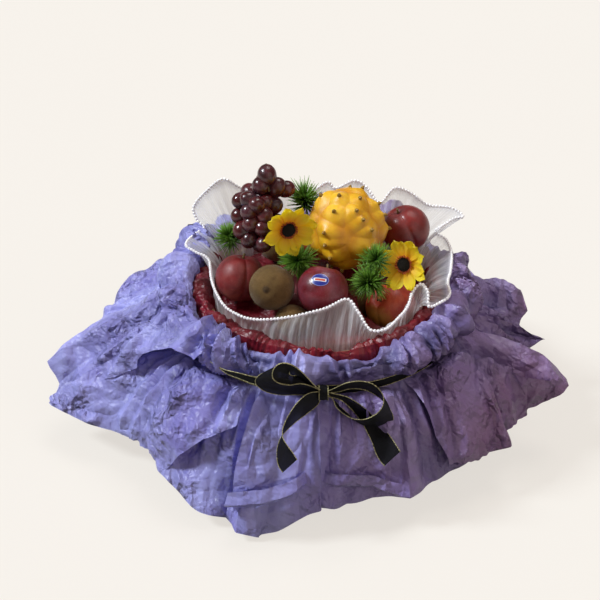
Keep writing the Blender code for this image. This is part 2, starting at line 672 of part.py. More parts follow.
# ---------------------------------------------------------------- assembly
def build():
    clear_scene()
    board = material("kraft_board", (0.62, 0.52, 0.40), 0.8)
    lilac = material("lilac_tissue", (0.29, 0.27, 0.62), 0.75)
    wine = material("wine_tissue", (0.16, 0.018, 0.035), 0.75)
    tulle = material("white_tulle", (0.80, 0.80, 0.82), 0.7)
    pearl = material("white_pearl", (0.86, 0.86, 0.88), 0.3)
    yellow_rind = material("yellow_rind", (0.72, 0.38, 0.03), 0.5)
    kiwi_skin = material("kiwi_skin", (0.20, 0.11, 0.045), 0.85)
    plum_skin = material("plum_skin", (0.13, 0.012, 0.03), 0.3)
    dark_plum_skin = material("dark_plum_skin", (0.07, 0.010, 0.02), 0.3)
    nectarine_skin = material("nectarine_skin", (0.30, 0.025, 0.02), 0.35)
    grape_skin = material("grape_skin", (0.075, 0.008, 0.018), 0.25)
    petal = material("yellow_petal", (0.88, 0.58, 0.02), 0.6)
    eye = material("dark_eye", (0.02, 0.012, 0.008), 0.9)
    needle = material("fir_green", (0.07, 0.16, 0.02), 0.5)
    organza = material("black_organza", (0.012, 0.012, 0.012), 0.5)

    hatbox(board)
    lilac_wrap(lilac)
    red_tissue(wine)
    tulle_ruffle(tulle)
    pearl_strand(pearl)

    dragon_fruit(yellow_rind)
    kiwi("kiwi_front", KIWI_FRONT, 0.0240, 0.0290, (-0.12, -0.87, 0.48), kiwi_skin)
    kiwi("kiwi_low", KIWI_LOW, 0.0178, 0.0190, (-0.6, -0.7, 0.2), kiwi_skin)
    kiwi("kiwi_shade", KIWI_SHADE, 0.0200, 0.0205, (0.7, 0.5, 0.5), kiwi_skin)
    stone_fruit("plum_front", PLUM_FRONT, 0.0285, 0.02, (0.25, 0.80, 0.55), 60, plum_skin)
    stone_fruit("plum_back", PLUM_BACK, 0.0265, 0.03, (-0.35, -0.10, 0.93), 200, dark_plum_skin)
    stone_fruit("nectarine_left", NECTARINE_LEFT, 0.0272, 0.05, (0.05, -0.10, 0.99), -75,
                nectarine_skin)
    stone_fruit("nectarine_right", NECTARINE_RIGHT, 0.0293, 0.03, (0.2, 0.5, 0.84), -60,
                nectarine_skin)
    stone_fruit("nectarine_back", NECTARINE_BACK, 0.0283, 0.04, (0.3, 0.3, 0.9), 80, nectarine_skin)
    kiwi("kiwi_back", KIWI_BACK, 0.0225, 0.0270, (0.55, 0.80, 0.25), kiwi_skin)
    stone_fruit("plum_far", PLUM_FAR, 0.0238, 0.03, (-0.2, 0.5, 0.85), 120, dark_plum_skin)
    grape_bunch(grape_skin)

    flower("flower_left", (-33, -32, 266), 0.0310, (-0.30, -0.88, 0.30), 12, 10, petal, eye)
    flower("flower_right", (95, -44, 232), 0.0315, (-0.45, -0.75, 0.45), 12, 25, petal, eye)
    sprig("sprig_left", (-101, 12, 229), 0.0140, (-0.8, -0.3, 0.4), needle)
    sprig("sprig_back", (-16, 60, 250), 0.0165, (0.0, -0.6, 0.8), needle)
    sprig("sprig_centre", (-22, -30, 224), 0.0165, (0.2, -0.8, 0.4), needle)
    sprig("sprig_right_front", (58, -52, 211), 0.0140, (0.2, -0.7, 0.6), needle)
    sprig("sprig_right_back", (76, -22, 209), 0.0135, (0.3, -0.5, 0.8), needle)

    ribbon_band(organza)
    ribbon_bow(organza)


build()
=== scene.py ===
"""Looks of the fruit hatbox: tissue wrap, red lining, tulle, fruit, daisies, fir and ribbon."""

import math
import random

import bpy
import numpy as np
from mathutils import Matrix, Vector


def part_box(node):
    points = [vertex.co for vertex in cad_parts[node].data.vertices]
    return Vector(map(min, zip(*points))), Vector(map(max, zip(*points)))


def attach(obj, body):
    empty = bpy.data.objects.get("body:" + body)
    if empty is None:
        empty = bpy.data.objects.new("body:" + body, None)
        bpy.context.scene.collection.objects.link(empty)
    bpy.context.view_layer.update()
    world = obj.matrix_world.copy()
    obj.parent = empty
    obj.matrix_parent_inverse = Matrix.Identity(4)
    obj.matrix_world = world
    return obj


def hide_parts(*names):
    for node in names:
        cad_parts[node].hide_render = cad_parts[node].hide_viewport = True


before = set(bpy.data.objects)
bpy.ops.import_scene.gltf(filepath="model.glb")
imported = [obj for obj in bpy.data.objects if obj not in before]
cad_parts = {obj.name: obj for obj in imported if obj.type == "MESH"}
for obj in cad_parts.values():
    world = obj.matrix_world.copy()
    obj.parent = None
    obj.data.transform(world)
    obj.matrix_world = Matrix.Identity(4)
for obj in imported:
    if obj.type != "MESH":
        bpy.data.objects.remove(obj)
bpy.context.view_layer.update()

# ---------------------------------------------------------------- sizes shared with the CAD
NECK_RADIUS = 0.1630
NECK_LOW = 0.1385
NECK_HIGH = 0.1510
SEAT_HEIGHT = 0.1580
TULLE_BASE = 0.1222
TULLE_SHOULDER = 0.1855


# ---------------------------------------------------------------- small maths
def smooth_step(t):
    t = np.clip(t, 0.0, 1.0)
    return t * t * (3 - 2 * t)


def bell(azimuth, centre, width):
    """1 at the centre azimuth, falling smoothly to 0 over the width, in degrees."""
    away = np.abs((azimuth - centre + 180) % 360 - 180)
    return 1 - smooth_step(away / width)


def polar_points(radius, azimuth, z):
    angle = np.radians(azimuth)
    return np.stack([radius * np.cos(angle), radius * np.sin(angle), z], axis=-1)


def round_table(table, azimuth, column):
    """Smoothly read one column of a table of rows that begin with an azimuth."""
    keys = np.array([row[0] for row in table], float)
    values = np.array([row[column] for row in table], float)
    keys = np.concatenate([keys - 360, keys, keys + 360])
    values = np.concatenate([values, values, values])
    steps = (-0.9, 0.0, 0.9)
    weights = (0.2, 0.6, 0.2)
    return sum(w * np.interp(azimuth % 360 + s, keys, values) for s, w in zip(steps, weights))


def folded_over(points, way, offset):
    """Points after everything behind a plane is folded over to its front."""
    side = points @ way - offset
    return points + (np.abs(side) - side)[..., None] * way


def fold_plan(folds, seed):
    """The folds of a crumpled sheet, each as (way it faces, offset). A fold about halves what is left."""
    rng = np.random.default_rng(seed)
    crowd = rng.random((400, 3)) * 0.5
    plan = []
    for _ in range(folds):
        way = rng.normal(size=3)
        way /= np.linalg.norm(way)
        offset = np.quantile(crowd @ way, rng.uniform(0.35, 0.65))
        crowd = folded_over(crowd, way, offset)
        plan.append((way, offset))
    return plan


def crumple(points, seed, layers):
    """Height of crumpled paper at each point: flat facets meeting at straight creases.

    Each layer is (box, folds, slope): a box of paper, how often it is folded, and how steep the facets are.
    A facet is about box / 2 ** (folds / 3) across."""
    total = 0.0
    for number, (box, folds, slope) in enumerate(layers):
        rng = np.random.default_rng(seed + number)
        turn = np.linalg.qr(rng.normal(size=(3, 3)))[0]
        bent = points + 0.12 * box * np.sin(points[..., [1, 2, 0]] * 2.2 / box + rng.random(3) * 6)
        spot = np.abs((bent @ turn * 0.5 / box) % 1 - 0.5)
        plan = fold_plan(folds, seed + number)
        for way, offset in plan:
            spot = folded_over(spot, way, offset)
        height = spot @ plan[0][0] * 2 * box
        total = total + slope * (height - height.mean())
    return total


def drum(azimuth, along, radius):
    """Spots on a drum, for reading crumples that close round the circle."""
    angle = np.radians(azimuth)
    return np.stack([radius * np.cos(angle), radius * np.sin(angle), along + 0 * angle], axis=-1)


def wander(azimuth, seed, parts=(2, 3, 5, 8)):
    """A smooth uneven wave round the circle, about -1 to 1."""
    rng = random.Random(seed)
    total = 0
    for cycles in parts:
        total = total + rng.uniform(0.3, 0.6) * np.sin(np.radians(azimuth) * cycles + rng.uniform(0, 6.3))
    return total


# ---------------------------------------------------------------- mesh helpers
def grid_faces(rows, columns, closed):
    """Quads of a grid stored row by row; closed joins the last column to the first."""
    i, j = np.meshgrid(np.arange(rows - 1), np.arange(columns if closed else columns - 1), indexing="ij")
    k = (j + 1) % columns
    return np.stack([i * columns + j, i * columns + k, (i + 1) * columns + k, (i + 1) * columns + j],
                    axis=-1).reshape(-1, 4)


def make_piece(name, points, faces, materials, uv=None, shades=None, slots=None, crease=None):
    """A mesh piece in the row frame that rides on the part; edges past the crease angle are sharp."""
    points = np.asarray(points, float).reshape(-1, 3)
    mesh = bpy.data.meshes.new(name)
    mesh.from_pydata(points.tolist(), [], [tuple(face) for face in faces])
    mesh.polygons.foreach_set("use_smooth", [True] * len(mesh.polygons))
    for material in materials if isinstance(materials, (list, tuple)) else [materials]:
        mesh.materials.append(material)
    if slots is not None:
        mesh.polygons.foreach_set("material_index", np.asarray(slots, int).tolist())
    if uv is not None:
        layer = mesh.uv_layers.new(name="UVMap")
        index = np.empty(len(mesh.loops), int)
        mesh.loops.foreach_get("vertex_index", index)
        layer.data.foreach_set("uv", np.asarray(uv, float).reshape(-1, 2)[index].ravel())
    if shades is not None:
        attribute = mesh.attributes.new("shade", "FLOAT", "POINT")
        attribute.data.foreach_set("value", np.asarray(shades, float).ravel())
    mesh.update()
    if crease is not None:
        mesh.set_sharp_from_angle(angle=math.radians(crease))
    piece = bpy.data.objects.new(name, mesh)
    bpy.context.scene.collection.objects.link(piece)
    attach(piece, "root")
    return piece


def grid_normals(points, closed=True):
    """Unit normals of a grid of points, rows by columns."""
    down = np.gradient(points, axis=0)
    if closed:
        along = (np.roll(points, -1, axis=1) - np.roll(points, 1, axis=1)) / 2
    else:
        along = np.gradient(points, axis=1)
    normal = np.cross(along, down)
    length = np.linalg.norm(normal, axis=-1, keepdims=True)
    return normal / np.maximum(length, 1e-12)


# ---------------------------------------------------------------- material helpers
def new_material(name):
    material = bpy.data.materials.new(name)
    material.use_nodes = True
    tree = material.node_tree
    tree.nodes.clear()
    output = tree.nodes.new("ShaderNodeOutputMaterial")
    return material, tree, output


def node(tree, kind, values=None, **settings):
    """Add a node; values may be plain values or sockets to link from."""
    made = tree.nodes.new("ShaderNode" + kind)
    for key, value in settings.items():
        setattr(made, key, value)
    for key, value in (values or {}).items():
        socket = made.inputs[key]
        if isinstance(value, bpy.types.NodeSocket):
            tree.links.new(value, socket)
        else:
            socket.default_value = value
    return made


def place(tree):
    return node(tree, "TexCoord").outputs["Object"]


def noise(tree, scale, detail=3.0, roughness=0.5, distortion=0.0):
    values = {"Scale": scale, "Detail": detail, "Roughness": roughness, "Distortion": distortion,
              "Vector": place(tree)}
    return node(tree, "TexNoise", values).outputs["Fac"]


def cells(tree, scale):
    return node(tree, "TexVoronoi", {"Scale": scale, "Vector": place(tree)}).outputs["Distance"]


def spread(tree, value, low, high, new_low=0.0, new_high=1.0):
    values = {"Value": value, "From Min": low, "From Max": high, "To Min": new_low, "To Max": new_high}
    return node(tree, "MapRange", values, clamp=True).outputs["Result"]


def maths(tree, operation, first, second=0.0):
    return node(tree, "Math", {0: first, 1: second}, operation=operation).outputs[0]


def blend(tree, factor, first, second):
    made = node(tree, "Mix", data_type="RGBA")
    for index, value in ((0, factor), (6, first), (7, second)):
        if isinstance(value, bpy.types.NodeSocket):
            tree.links.new(value, made.inputs[index])
        else:
            made.inputs[index].default_value = value if index == 0 else (*value, 1.0)
    return made.outputs[2]


def bump(tree, height, distance, strength=1.0, normal=None):
    values = {"Height": height, "Distance": distance, "Strength": strength}
    if normal is not None:
        values["Normal"] = normal
    return node(tree, "Bump", values).outputs["Normal"]


def principled(tree, output, colour, roughness, normal=None, **plain):
    """Principled shader; colour and roughness may be sockets, the rest are plain values."""
    values = {"Base Color": colour if isinstance(colour, bpy.types.NodeSocket) else (*colour, 1.0),
              "Roughness": roughness}
    if normal is not None:
        values["Normal"] = normal
    shader = node(tree, "BsdfPrincipled", values)
    for key, value in plain.items():
        shader.inputs[key.replace("_", " ")].default_value = value
    if output is not None:
        tree.links.new(shader.outputs[0], output.inputs["Surface"])
    return shader


def uv_parts(tree):
    """The two numbers of the piece's own UV map."""
    split = node(tree, "SeparateXYZ", {0: node(tree, "UVMap", uv_map="UVMap").outputs["UV"]})
    return split.outputs[0], split.outputs[1]


def shade_of(tree):
    return node(tree, "Attribute", attribute_name="shade").outputs["Fac"]


def surface_mix(tree, output, share, first, second):
    """Two shaders mixed on the surface; share is how much of the second one shows."""
    mixed = node(tree, "MixShader", {0: share, 1: first.outputs[0], 2: second.outputs[0]})
    tree.links.new(mixed.outputs[0], output.inputs["Surface"])


def crumpled(tree, where, box, folds, seed):
    """Height of fine crumples in metres, folded the same way as crumple()."""
    rng = random.Random(seed)
    turn = tuple(rng.uniform(0.3, 2.8) for _ in range(3))
    turned_over = node(tree, "VectorRotate", {"Vector": where, "Rotation": turn}, rotation_type="EULER_XYZ")
    scaled = {0: turned_over.outputs[0], "Scale": 0.5 / box}
    spot = node(tree, "VectorMath", scaled, operation="SCALE").outputs[0]
    spot = node(tree, "VectorMath", {0: spot}, operation="FRACTION").outputs[0]
    spot = node(tree, "VectorMath", {0: spot, 1: (0.5, 0.5, 0.5)}, operation="SUBTRACT").outputs[0]
    spot = node(tree, "VectorMath", {0: spot}, operation="ABSOLUTE").outputs[0]
    plan = fold_plan(folds, seed)
    for way, offset in plan:
        side = node(tree, "VectorMath", {0: spot, 1: tuple(way)}, operation="DOT_PRODUCT").outputs["Value"]
        side = maths(tree, "SUBTRACT", side, float(offset))
        shift = maths(tree, "SUBTRACT", maths(tree, "ABSOLUTE", side), side)
        push = node(tree, "VectorMath", {0: tuple(way), "Scale": shift}, operation="SCALE").outputs[0]
        spot = node(tree, "VectorMath", {0: spot, 1: push}, operation="ADD").outputs[0]
    height = node(tree, "VectorMath", {0: spot, 1: tuple(plan[0][0])}, operation="DOT_PRODUCT")
    return maths(tree, "MULTIPLY", height.outputs["Value"], 2 * box)


def srgb(red, green, blue):
    """Linear colour from 0-255 display values."""
    def channel(value):
        value /= 255
        return value / 12.92 if value <= 0.04045 else ((value + 0.055) / 1.055) ** 2.4
    return channel(red), channel(green), channel(blue)


# ---------------------------------------------------------------- tissue paper
# The hem: azimuth in degrees, distance from the axis and height in mm. The front was picked off the
# photo through a guessed camera by a helper script; the back is guessed.
HEM = [
    (20, 219, 120), (30, 228, 112), (45, 230, 110), (60, 238, 104), (78, 246, 98),
    (95, 238, 104), (112, 248, 100), (130, 240, 108), (143, 236, 116), (154, 246, 120),
    (169, 260, 105), (176, 262, 96), (180.5, 290, 94), (185, 325, 85), (188, 307, 62),
    (190.5, 327, 46), (197, 290, 45), (203, 258, 40), (217, 240, 50), (227, 247, 36),
    (239, 250, 17), (247, 248, 11), (255, 261, 6), (260, 247, 8), (262, 240, 12), (266, 224, 22),
    (270, 216, 31), (274, 224, 30), (285, 222, 35), (298, 233, 35), (310, 238, 40), (324, 250, 50),
    (340, 257, 60), (345.5, 290, 74), (350.5, 240, 86), (355, 246, 92), (360.5, 278, 100),
    (365, 246, 108), (368, 259, 115), (372, 246, 124),
]

# The collar from its inner edge over to the neck: distance from the axis and height.
COLLAR_PROFILE = [
    (0.1478, 0.1560), (0.1470, 0.1650), (0.1478, 0.1760), (0.1530, 0.1850), (0.1610, 0.1885),
    (0.1700, 0.1865), (0.1780, 0.1800), (0.1815, 0.1715), (0.1800, 0.1630), (0.1735, 0.1560),
    (0.1660, 0.1520), (0.1636, 0.1490), (0.1634, 0.1400),
]


def tissue_material(name, light, dark, warm, crinkle, glow):
    """Thin crumpled paper: tint that drifts, warm patches with painted warm shade towards one side, painted
    shade in the fold gaps, crinkles, light through it.
    """
    material, tree, output = new_material(name)
    drift = noise(tree, 11, 3, 0.55, distortion=0.6)
    tint = blend(tree, spread(tree, drift, 0.35, 0.65), light, dark)
    across = node(tree, "SeparateXYZ", {0: place(tree)}).outputs[0]
    # Painted warm shade: the tint turns warmer towards the right side, which is in shade; the warm patches
    # are the paper's own tone.
    painted_warm_shade = spread(tree, across, -0.10, 0.22)
    warm_tone_and_shade = spread(tree, noise(tree, 6.5, 2, 0.5), 0.35, 0.75, 0.1, 0.6)
    warm_tone_and_shade = maths(tree, "MULTIPLY", maths(tree, "ADD", warm_tone_and_shade, 0.5), maths(tree, "ADD", painted_warm_shade, 0.12))
    tint = blend(tree, warm_tone_and_shade, tint, warm)
    wobble = node(tree, "TexNoise", {"Scale": 45.0, "Detail": 3.0, "Vector": place(tree)}).outputs["Color"]
    shifted = node(tree, "VectorMath", {0: wobble, 1: (0.006, 0.006, 0.006)}, operation="MULTIPLY").outputs[0]
    where = node(tree, "VectorMath", {0: place(tree), 1: shifted}, operation="ADD").outputs[0]
    # Painted shade: the shade attribute darkens the tint in fold gaps and under overhanging paper.
    deep = shade_of(tree)
    tint = blend(tree, deep, tint, tuple(0.35 * c for c in dark))
    fibre = noise(tree, 900, 2, 0.6)
    tint = blend(tree, spread(tree, fibre, 0.35, 0.75, 0.0, 0.12), tint, tuple(c * 0.7 for c in light))
    normal = node(tree, "NewGeometry").outputs["Normal"]
    crushed_left = spread(tree, across, -0.14, -0.04, 1.0, 0.50)
    crushed_right = spread(tree, across, 0.06, 0.16, 0.0, 0.40)
    crushed = maths(tree, "ADD", crushed_left, crushed_right)
    patchy = maths(tree, "MULTIPLY", spread(tree, noise(tree, 14, 2), 0.36, 0.60, 0.30, 1.0), crushed)
    for box, folds, slope, seed in ((0.034, 7, 0.72, 3), (0.012, 6, 0.60, 8)):
        height = maths(tree, "MULTIPLY", crumpled(tree, where, box, folds, seed), slope * crinkle)
        normal = bump(tree, maths(tree, "MULTIPLY", height, patchy), 1.0, 1.0, normal)
    front = principled(tree, None, tint, 0.42, normal, Specular_IOR_Level=0.5)
    behind = node(tree, "BsdfTranslucent", {"Color": tint, "Normal": normal})
    surface_mix(tree, output, glow, front, behind)
    return material


def left_share(azimuth):
    """How strongly the paper is crushed: fully at the left, less round the rest."""
    return bell(azimuth, 188, 62)


def right_share(azimuth):
    return bell(azimuth, 350, 60)


def pleats(azimuth, count, seed, unevenness=2.2):
    """Uneven gathers round the circle, folded sharp at both ridge and valley, 0 to 1."""
    phase = np.radians(azimuth) * count / 2 + unevenness * wander(azimuth, seed, (3, 5, 9, 14))
    return np.abs(np.arcsin(np.sin(phase))) * 2 / math.pi


def turned(profile, azimuth, rows, softened=0):
    """A profile turned round the axis: each point's azimuth, its share of the profile, and its place."""
    along = np.linspace(0, 1, rows)
    knots = np.linspace(0, 1, len(profile))
    line = np.stack([np.interp(along, knots, [point[k] for point in profile]) for k in (0, 1)], axis=1)
    for _ in range(softened):
        line[1:-1] = 0.25 * line[:-2] + 0.5 * line[1:-1] + 0.25 * line[2:]
    a = np.broadcast_to(azimuth, (rows, len(azimuth)))
    w = np.broadcast_to(along[:, None], a.shape)
    return a, w, polar_points(line[:, :1] + 0 * a, a, line[:, 1:] + 0 * a)


# Round puffs of the collar: azimuth, half width in degrees, height.
PUFFS = [
    (316, 9, 0.0100), (298, 6, 0.0050), (334, 6, 0.0060), (283, 5, 0.0040), (231, 8, 0.0040),
    (215, 9, 0.0060), (249, 7, 0.0030), (352, 9, 0.0040), (197, 9, 0.0045), (20, 12, 0.0040),
    (150, 12, 0.0050), (172, 10, 0.0050),
]


def collar_grid(azimuth, rows):
    """The gathered collar: its points and its painted shade, darkest deep in the folds, at its inner edge and
    at the neck.
    """
    a, w, base = turned(COLLAR_PROFILE, azimuth, rows, 3)
    normal = -grid_normals(base)
    swell = np.sin(np.pi * np.clip((w - 0.05) / 0.85, 0, 1)) ** 0.8
    slant = 11.0 * (w - 0.4) * np.sin(np.radians(a) * 3 + 1.0) + 15 * (w - 0.5) * wander(a, 5, (4, 7, 11))
    gathers = (1 - 0.5 * bell(a, 300, 55)) * np.clip(0.6 + 0.8 * wander(a, 77, (5, 9, 14)), 0.1, 1.2)
    folds = pleats(a + slant, 41, 11, 4.2) * 0.32 * gathers + pleats(a - slant, 17, 23, 5.2) * 0.85
    depth = 0.0125 + 0.0035 * wander(a, 31, (3, 4, 7))
    puffs = sum(bell(a, centre, width) * size for centre, width, size in PUFFS)
    rough = crumple(drum(a, w * 0.075, 0.172), 41, ((0.100, 5, 0.60), (0.040, 5, 0.52), (0.016, 4, 0.30)))
    rough -= 0.002
    tied = 1 - 0.45 * bell(a, 270, 14) * (1 - smooth_step((w - 0.30) / 0.25))
    lift = swell * ((folds - 0.65) * depth + puffs + rough) * tied + (1 - swell) * 0.0012 * (folds - 0.6)
    lift = np.where(w > 0.9, np.clip(lift, -0.0004, 0.0015), lift)
    # Painted shade: darker in the fold valleys, at the inner edge and at the neck.
    shade = np.clip(0.62 - folds * 0.75 - rough * 45, 0, 0.9) * swell
    shade = np.clip(shade + 0.35 * (1 - smooth_step(w / 0.30)) + 0.5 * smooth_step((w - 0.75) / 0.2), 0, 0.95)
    return base + normal * lift[..., None], shade


def skirt_base(a, t):
    """The skirt before its folds: from the neck out and down to the hem."""
    hem_radius = round_table(HEM, a, 1) * 0.001
    hem_height = round_table(HEM, a, 2) * 0.001
    bulge = 0.011 - 0.008 * bell(a, 150, 50) + 0.006 * bell(a, 215, 26) - 0.007 * bell(a, 5, 50)
    rise = bulge * np.sin(np.pi * np.clip(t, 0, 1)) ** 0.75
    radius = NECK_RADIUS + 0.0004 + (hem_radius - NECK_RADIUS) * t + rise * 0.55
    height = NECK_LOW + 0.0015 + (hem_height - NECK_LOW) * t + rise
    return polar_points(radius, a, height)


def shoulder_base(a, t):
    """Where the crushed paper at the left spills over the collar and hides the neck."""
    top = polar_points(0.1700 + 0 * a, a, 0.1850 + 0 * a)
    puff = 0.016 * np.sin(np.pi * np.clip(t, 0, 1) ** 0.8) * bell(a, 214, 26)
    puff = puff - 0.006 * bell(a, 165, 30) * np.sin(np.pi * t)
    out = (1 - t[..., None]) * top + t[..., None] * skirt_base(a, np.minimum(t, 1.0))
    return out + puff[..., None] * np.array([0, 0, 1.0])


def skirt_folds(a, t, reach):
    """Height of the skirt's pleats and facets above its base, and its painted shade: darker in the folds and
    near the neck.
    """
    left = left_share(a)
    right = right_share(a)
    fine = (pleats(a + 9 * t * wander(a, 3, (5, 8)), 76, 61) - 0.5) * 0.0080 * np.exp(-t * 3.0)
    middle = (pleats(a + 6 * t * wander(a, 13, (3, 6)), 38, 71) - 0.5) * 0.0140
    middle = middle * np.exp(-((t - 0.35) / 0.4) ** 2)
    broad = (pleats(a + 3 * t, 15, 83, 1.2) - 0.5) * 0.0170 * smooth_step(t * 1.5)
    rough = crumple(drum(a, t * 0.085, 0.215), 7, ((0.150, 5, 0.26), (0.062, 5, 0.28)))
    crinkle = crumple(drum(a, t * 0.120, 0.215), 19, ((0.034, 5, 0.30), (0.015, 4, 0.26)))
    calm_hem = 1 - 0.75 * smooth_step((t - 0.80) / 0.20)
    rough = (rough * (0.8 + 0.3 * left) + crinkle * (0.35 + 0.75 * left)) * calm_hem
    pleated = fine + middle * (1 - 0.3 * left + 0.7 * right) + broad * (1 - 0.4 * left + 0.9 * right)
    # Painted shade: darker in the pleat and crumple hollows and close under the neck.
    shade = np.clip(0.10 - (pleated + rough) * 38, 0, 0.6) + 0.55 * np.exp(-t * 9)
    return reach * (pleated + rough), np.clip(shade, 0, 0.9)


def skirt_grid(azimuth, rows):
    steps = np.linspace(0, 1, rows) ** 0.9
    a, t = np.meshgrid(azimuth, steps)
    base = skirt_base(a, t)
    normal = -grid_normals(base)
    lift, shade = skirt_folds(a, t, smooth_step(t * 7))
    curl = 0.004 * smooth_step((t - 0.85) / 0.15) * wander(a, 29, (5, 9, 13))
    points = base + normal * (lift + curl)[..., None]
    points[..., 2] = np.maximum(points[..., 2], 0.0015)
    return points, shade


def read_edge(edge, t):
    """Azimuth of a panel's edge at each step from neck to hem."""
    return np.interp(t, [p[0] for p in edge], [p[1] for p in edge])


# Each panel: edge at the lower azimuth and edge at the higher one, as (run, azimuth); how far it runs
# at even steps from one edge to the other; how high it stands at each edge; how crushed it is. depth
# makes it only a band along its end, and clear is how far it stands off all over. Many of the edges
# were picked off the photo through a guessed camera by a helper script.
FRONT_EDGES = {"low": [(0.05, 249.0), (0.5, 248.5), (1.0, 248.0)],
               "high": [(0.2, 295.5), (0.7, 294.0), (1.0, 292.0)]}
PANELS = {
    "front": {**FRONT_EDGES, "runs": (0.91, 0.78, 0.75, 0.81, 0.86, 0.92, 1.00), "stands": (0.016, 0.006),
              "crush": 0.35, "seed": 301, "base": skirt_base},
    "front_hem": {**FRONT_EDGES,
                  "runs": (0.88, 0.78, 0.75, 0.81, 0.86, 0.92, 1.00), "depth": 0.12, "stands": (0.017, 0.007),
                  "clear": 0.0080, "crush": 0.35, "seed": 301, "base": skirt_base},
    "left_low": {"low": [(0.1, 206.0), (0.5, 194.0), (1.0, 190.0)],
                 "high": [(0.15, 243.5), (0.34, 244.5), (0.53, 236.0), (0.74, 231.0), (1.0, 226.0)],
                 "runs": (0.97, 1.02, 1.00, 1.03, 1.00), "stands": (0.002, 0.013), "crush": 0.80,
                 "seed": 317, "base": skirt_base},
    "left_high": {"low": [(0.0, 138.0), (1.0, 146.0)],
                  "high": [(0.0, 231.0), (0.20, 230.0), (0.43, 226.0), (0.51, 217.0), (0.65, 206.0),
                           (0.80, 198.5), (1.0, 193.0)],
                  "runs": (0.96, 1.00, 0.97, 0.99, 1.00, 0.93, 0.80), "stands": (-0.006, 0.012),
                  "crush": 1.10, "seed": 331, "base": shoulder_base},
    "right": {"low": [(0.1, 303.0), (0.6, 306.0), (1.0, 309.0)],
              "high": [(0.15, 326.5), (0.33, 334.0), (0.61, 340.5), (0.85, 345.0), (1.0, 347.0)],
              "runs": (0.90, 0.99, 0.95, 1.01, 1.02), "stands": (0.002, 0.016), "crush": 0.35,
              "seed": 347, "base": skirt_base},
}


def panel_grid(panel, columns, rows):
    """A fold of the wrap that lies over its neighbours, with one edge standing clear, and its painted shade.
    """
    u, v = np.meshgrid(np.linspace(0, 1, columns), np.linspace(0, 1, rows))
    runs = np.interp(u, np.linspace(0, 1, len(panel["runs"])), panel["runs"])
    start = runs - panel["depth"] if "depth" in panel else 0.0
    t = start + (runs - start) * v
    a = read_edge(panel["low"], t) + (read_edge(panel["high"], t) - read_edge(panel["low"], t)) * u
    frayed = 0.010 * wander(u * 360, panel["seed"], (5, 9, 16)) * v ** 6
    base = panel["base"](a, t + frayed)
    normal = -grid_normals(base, closed=False)
    rough = crumple(drum(a, t * 0.085, 0.210), panel["seed"], ((0.150, 5, 0.26), (0.062, 5, 0.28)))
    crinkle = crumple(drum(a, t * 0.120, 0.210), panel["seed"] + 5, ((0.034, 5, 0.34), (0.015, 4, 0.28)))
    folds = (pleats(a + 5 * t, 34, panel["seed"] + 1) - 0.5) * 0.016 * np.exp(-t * 1.4)
    relief = rough * 0.7 + crinkle * panel["crush"] + folds
    low_stand, high_stand = panel["stands"]
    settle = 1 - 0.7 * smooth_step((v - 0.7) / 0.3)
    stand = panel.get("clear", 0.0045) + low_stand * (1 - u) ** 4 + high_stand * u ** 4
    inside = smooth_step(v * 14) if panel["base"] is shoulder_base else smooth_step(t * 6)
    lift = inside * (stand * settle + relief)
    hem = smooth_step((v - 0.93) / 0.07)
    neck = np.exp(-t * 8) * (panel["base"] is skirt_base)
    # Painted shade: darker in the hollows and, on skirt panels, near the neck.
    shade = np.clip(0.04 - relief * 38, 0, 0.55) + 0.45 * neck
    return base + normal * (lift - 0.002 * hem)[..., None], np.clip(shade, 0, 0.9)


def lilac_paper(material):
    columns = 720
    azimuth = np.linspace(0, 360, columns, endpoint=False)
    collar, collar_shade = collar_grid(azimuth, 36)
    skirt, skirt_shade = skirt_grid(azimuth, 58)
    points = np.concatenate([collar, skirt], axis=0)
    shapes = [(points.reshape(-1, 3), grid_faces(points.shape[0], columns, True))]
    shades = [collar_shade.ravel(), skirt_shade.ravel()]
    for panel in PANELS.values():
        across, down = 96, 62
        grid, shade = panel_grid(panel, across, down)
        shapes.append((grid.reshape(-1, 3), grid_faces(down, across, False)))
        shades.append(shade.ravel())
    points, faces = joined(shapes)
    piece = make_piece("lilac_wrap_paper", points, faces, material, shades=np.concatenate(shades), crease=6)
    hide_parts("lilac_wrap")
    return piece


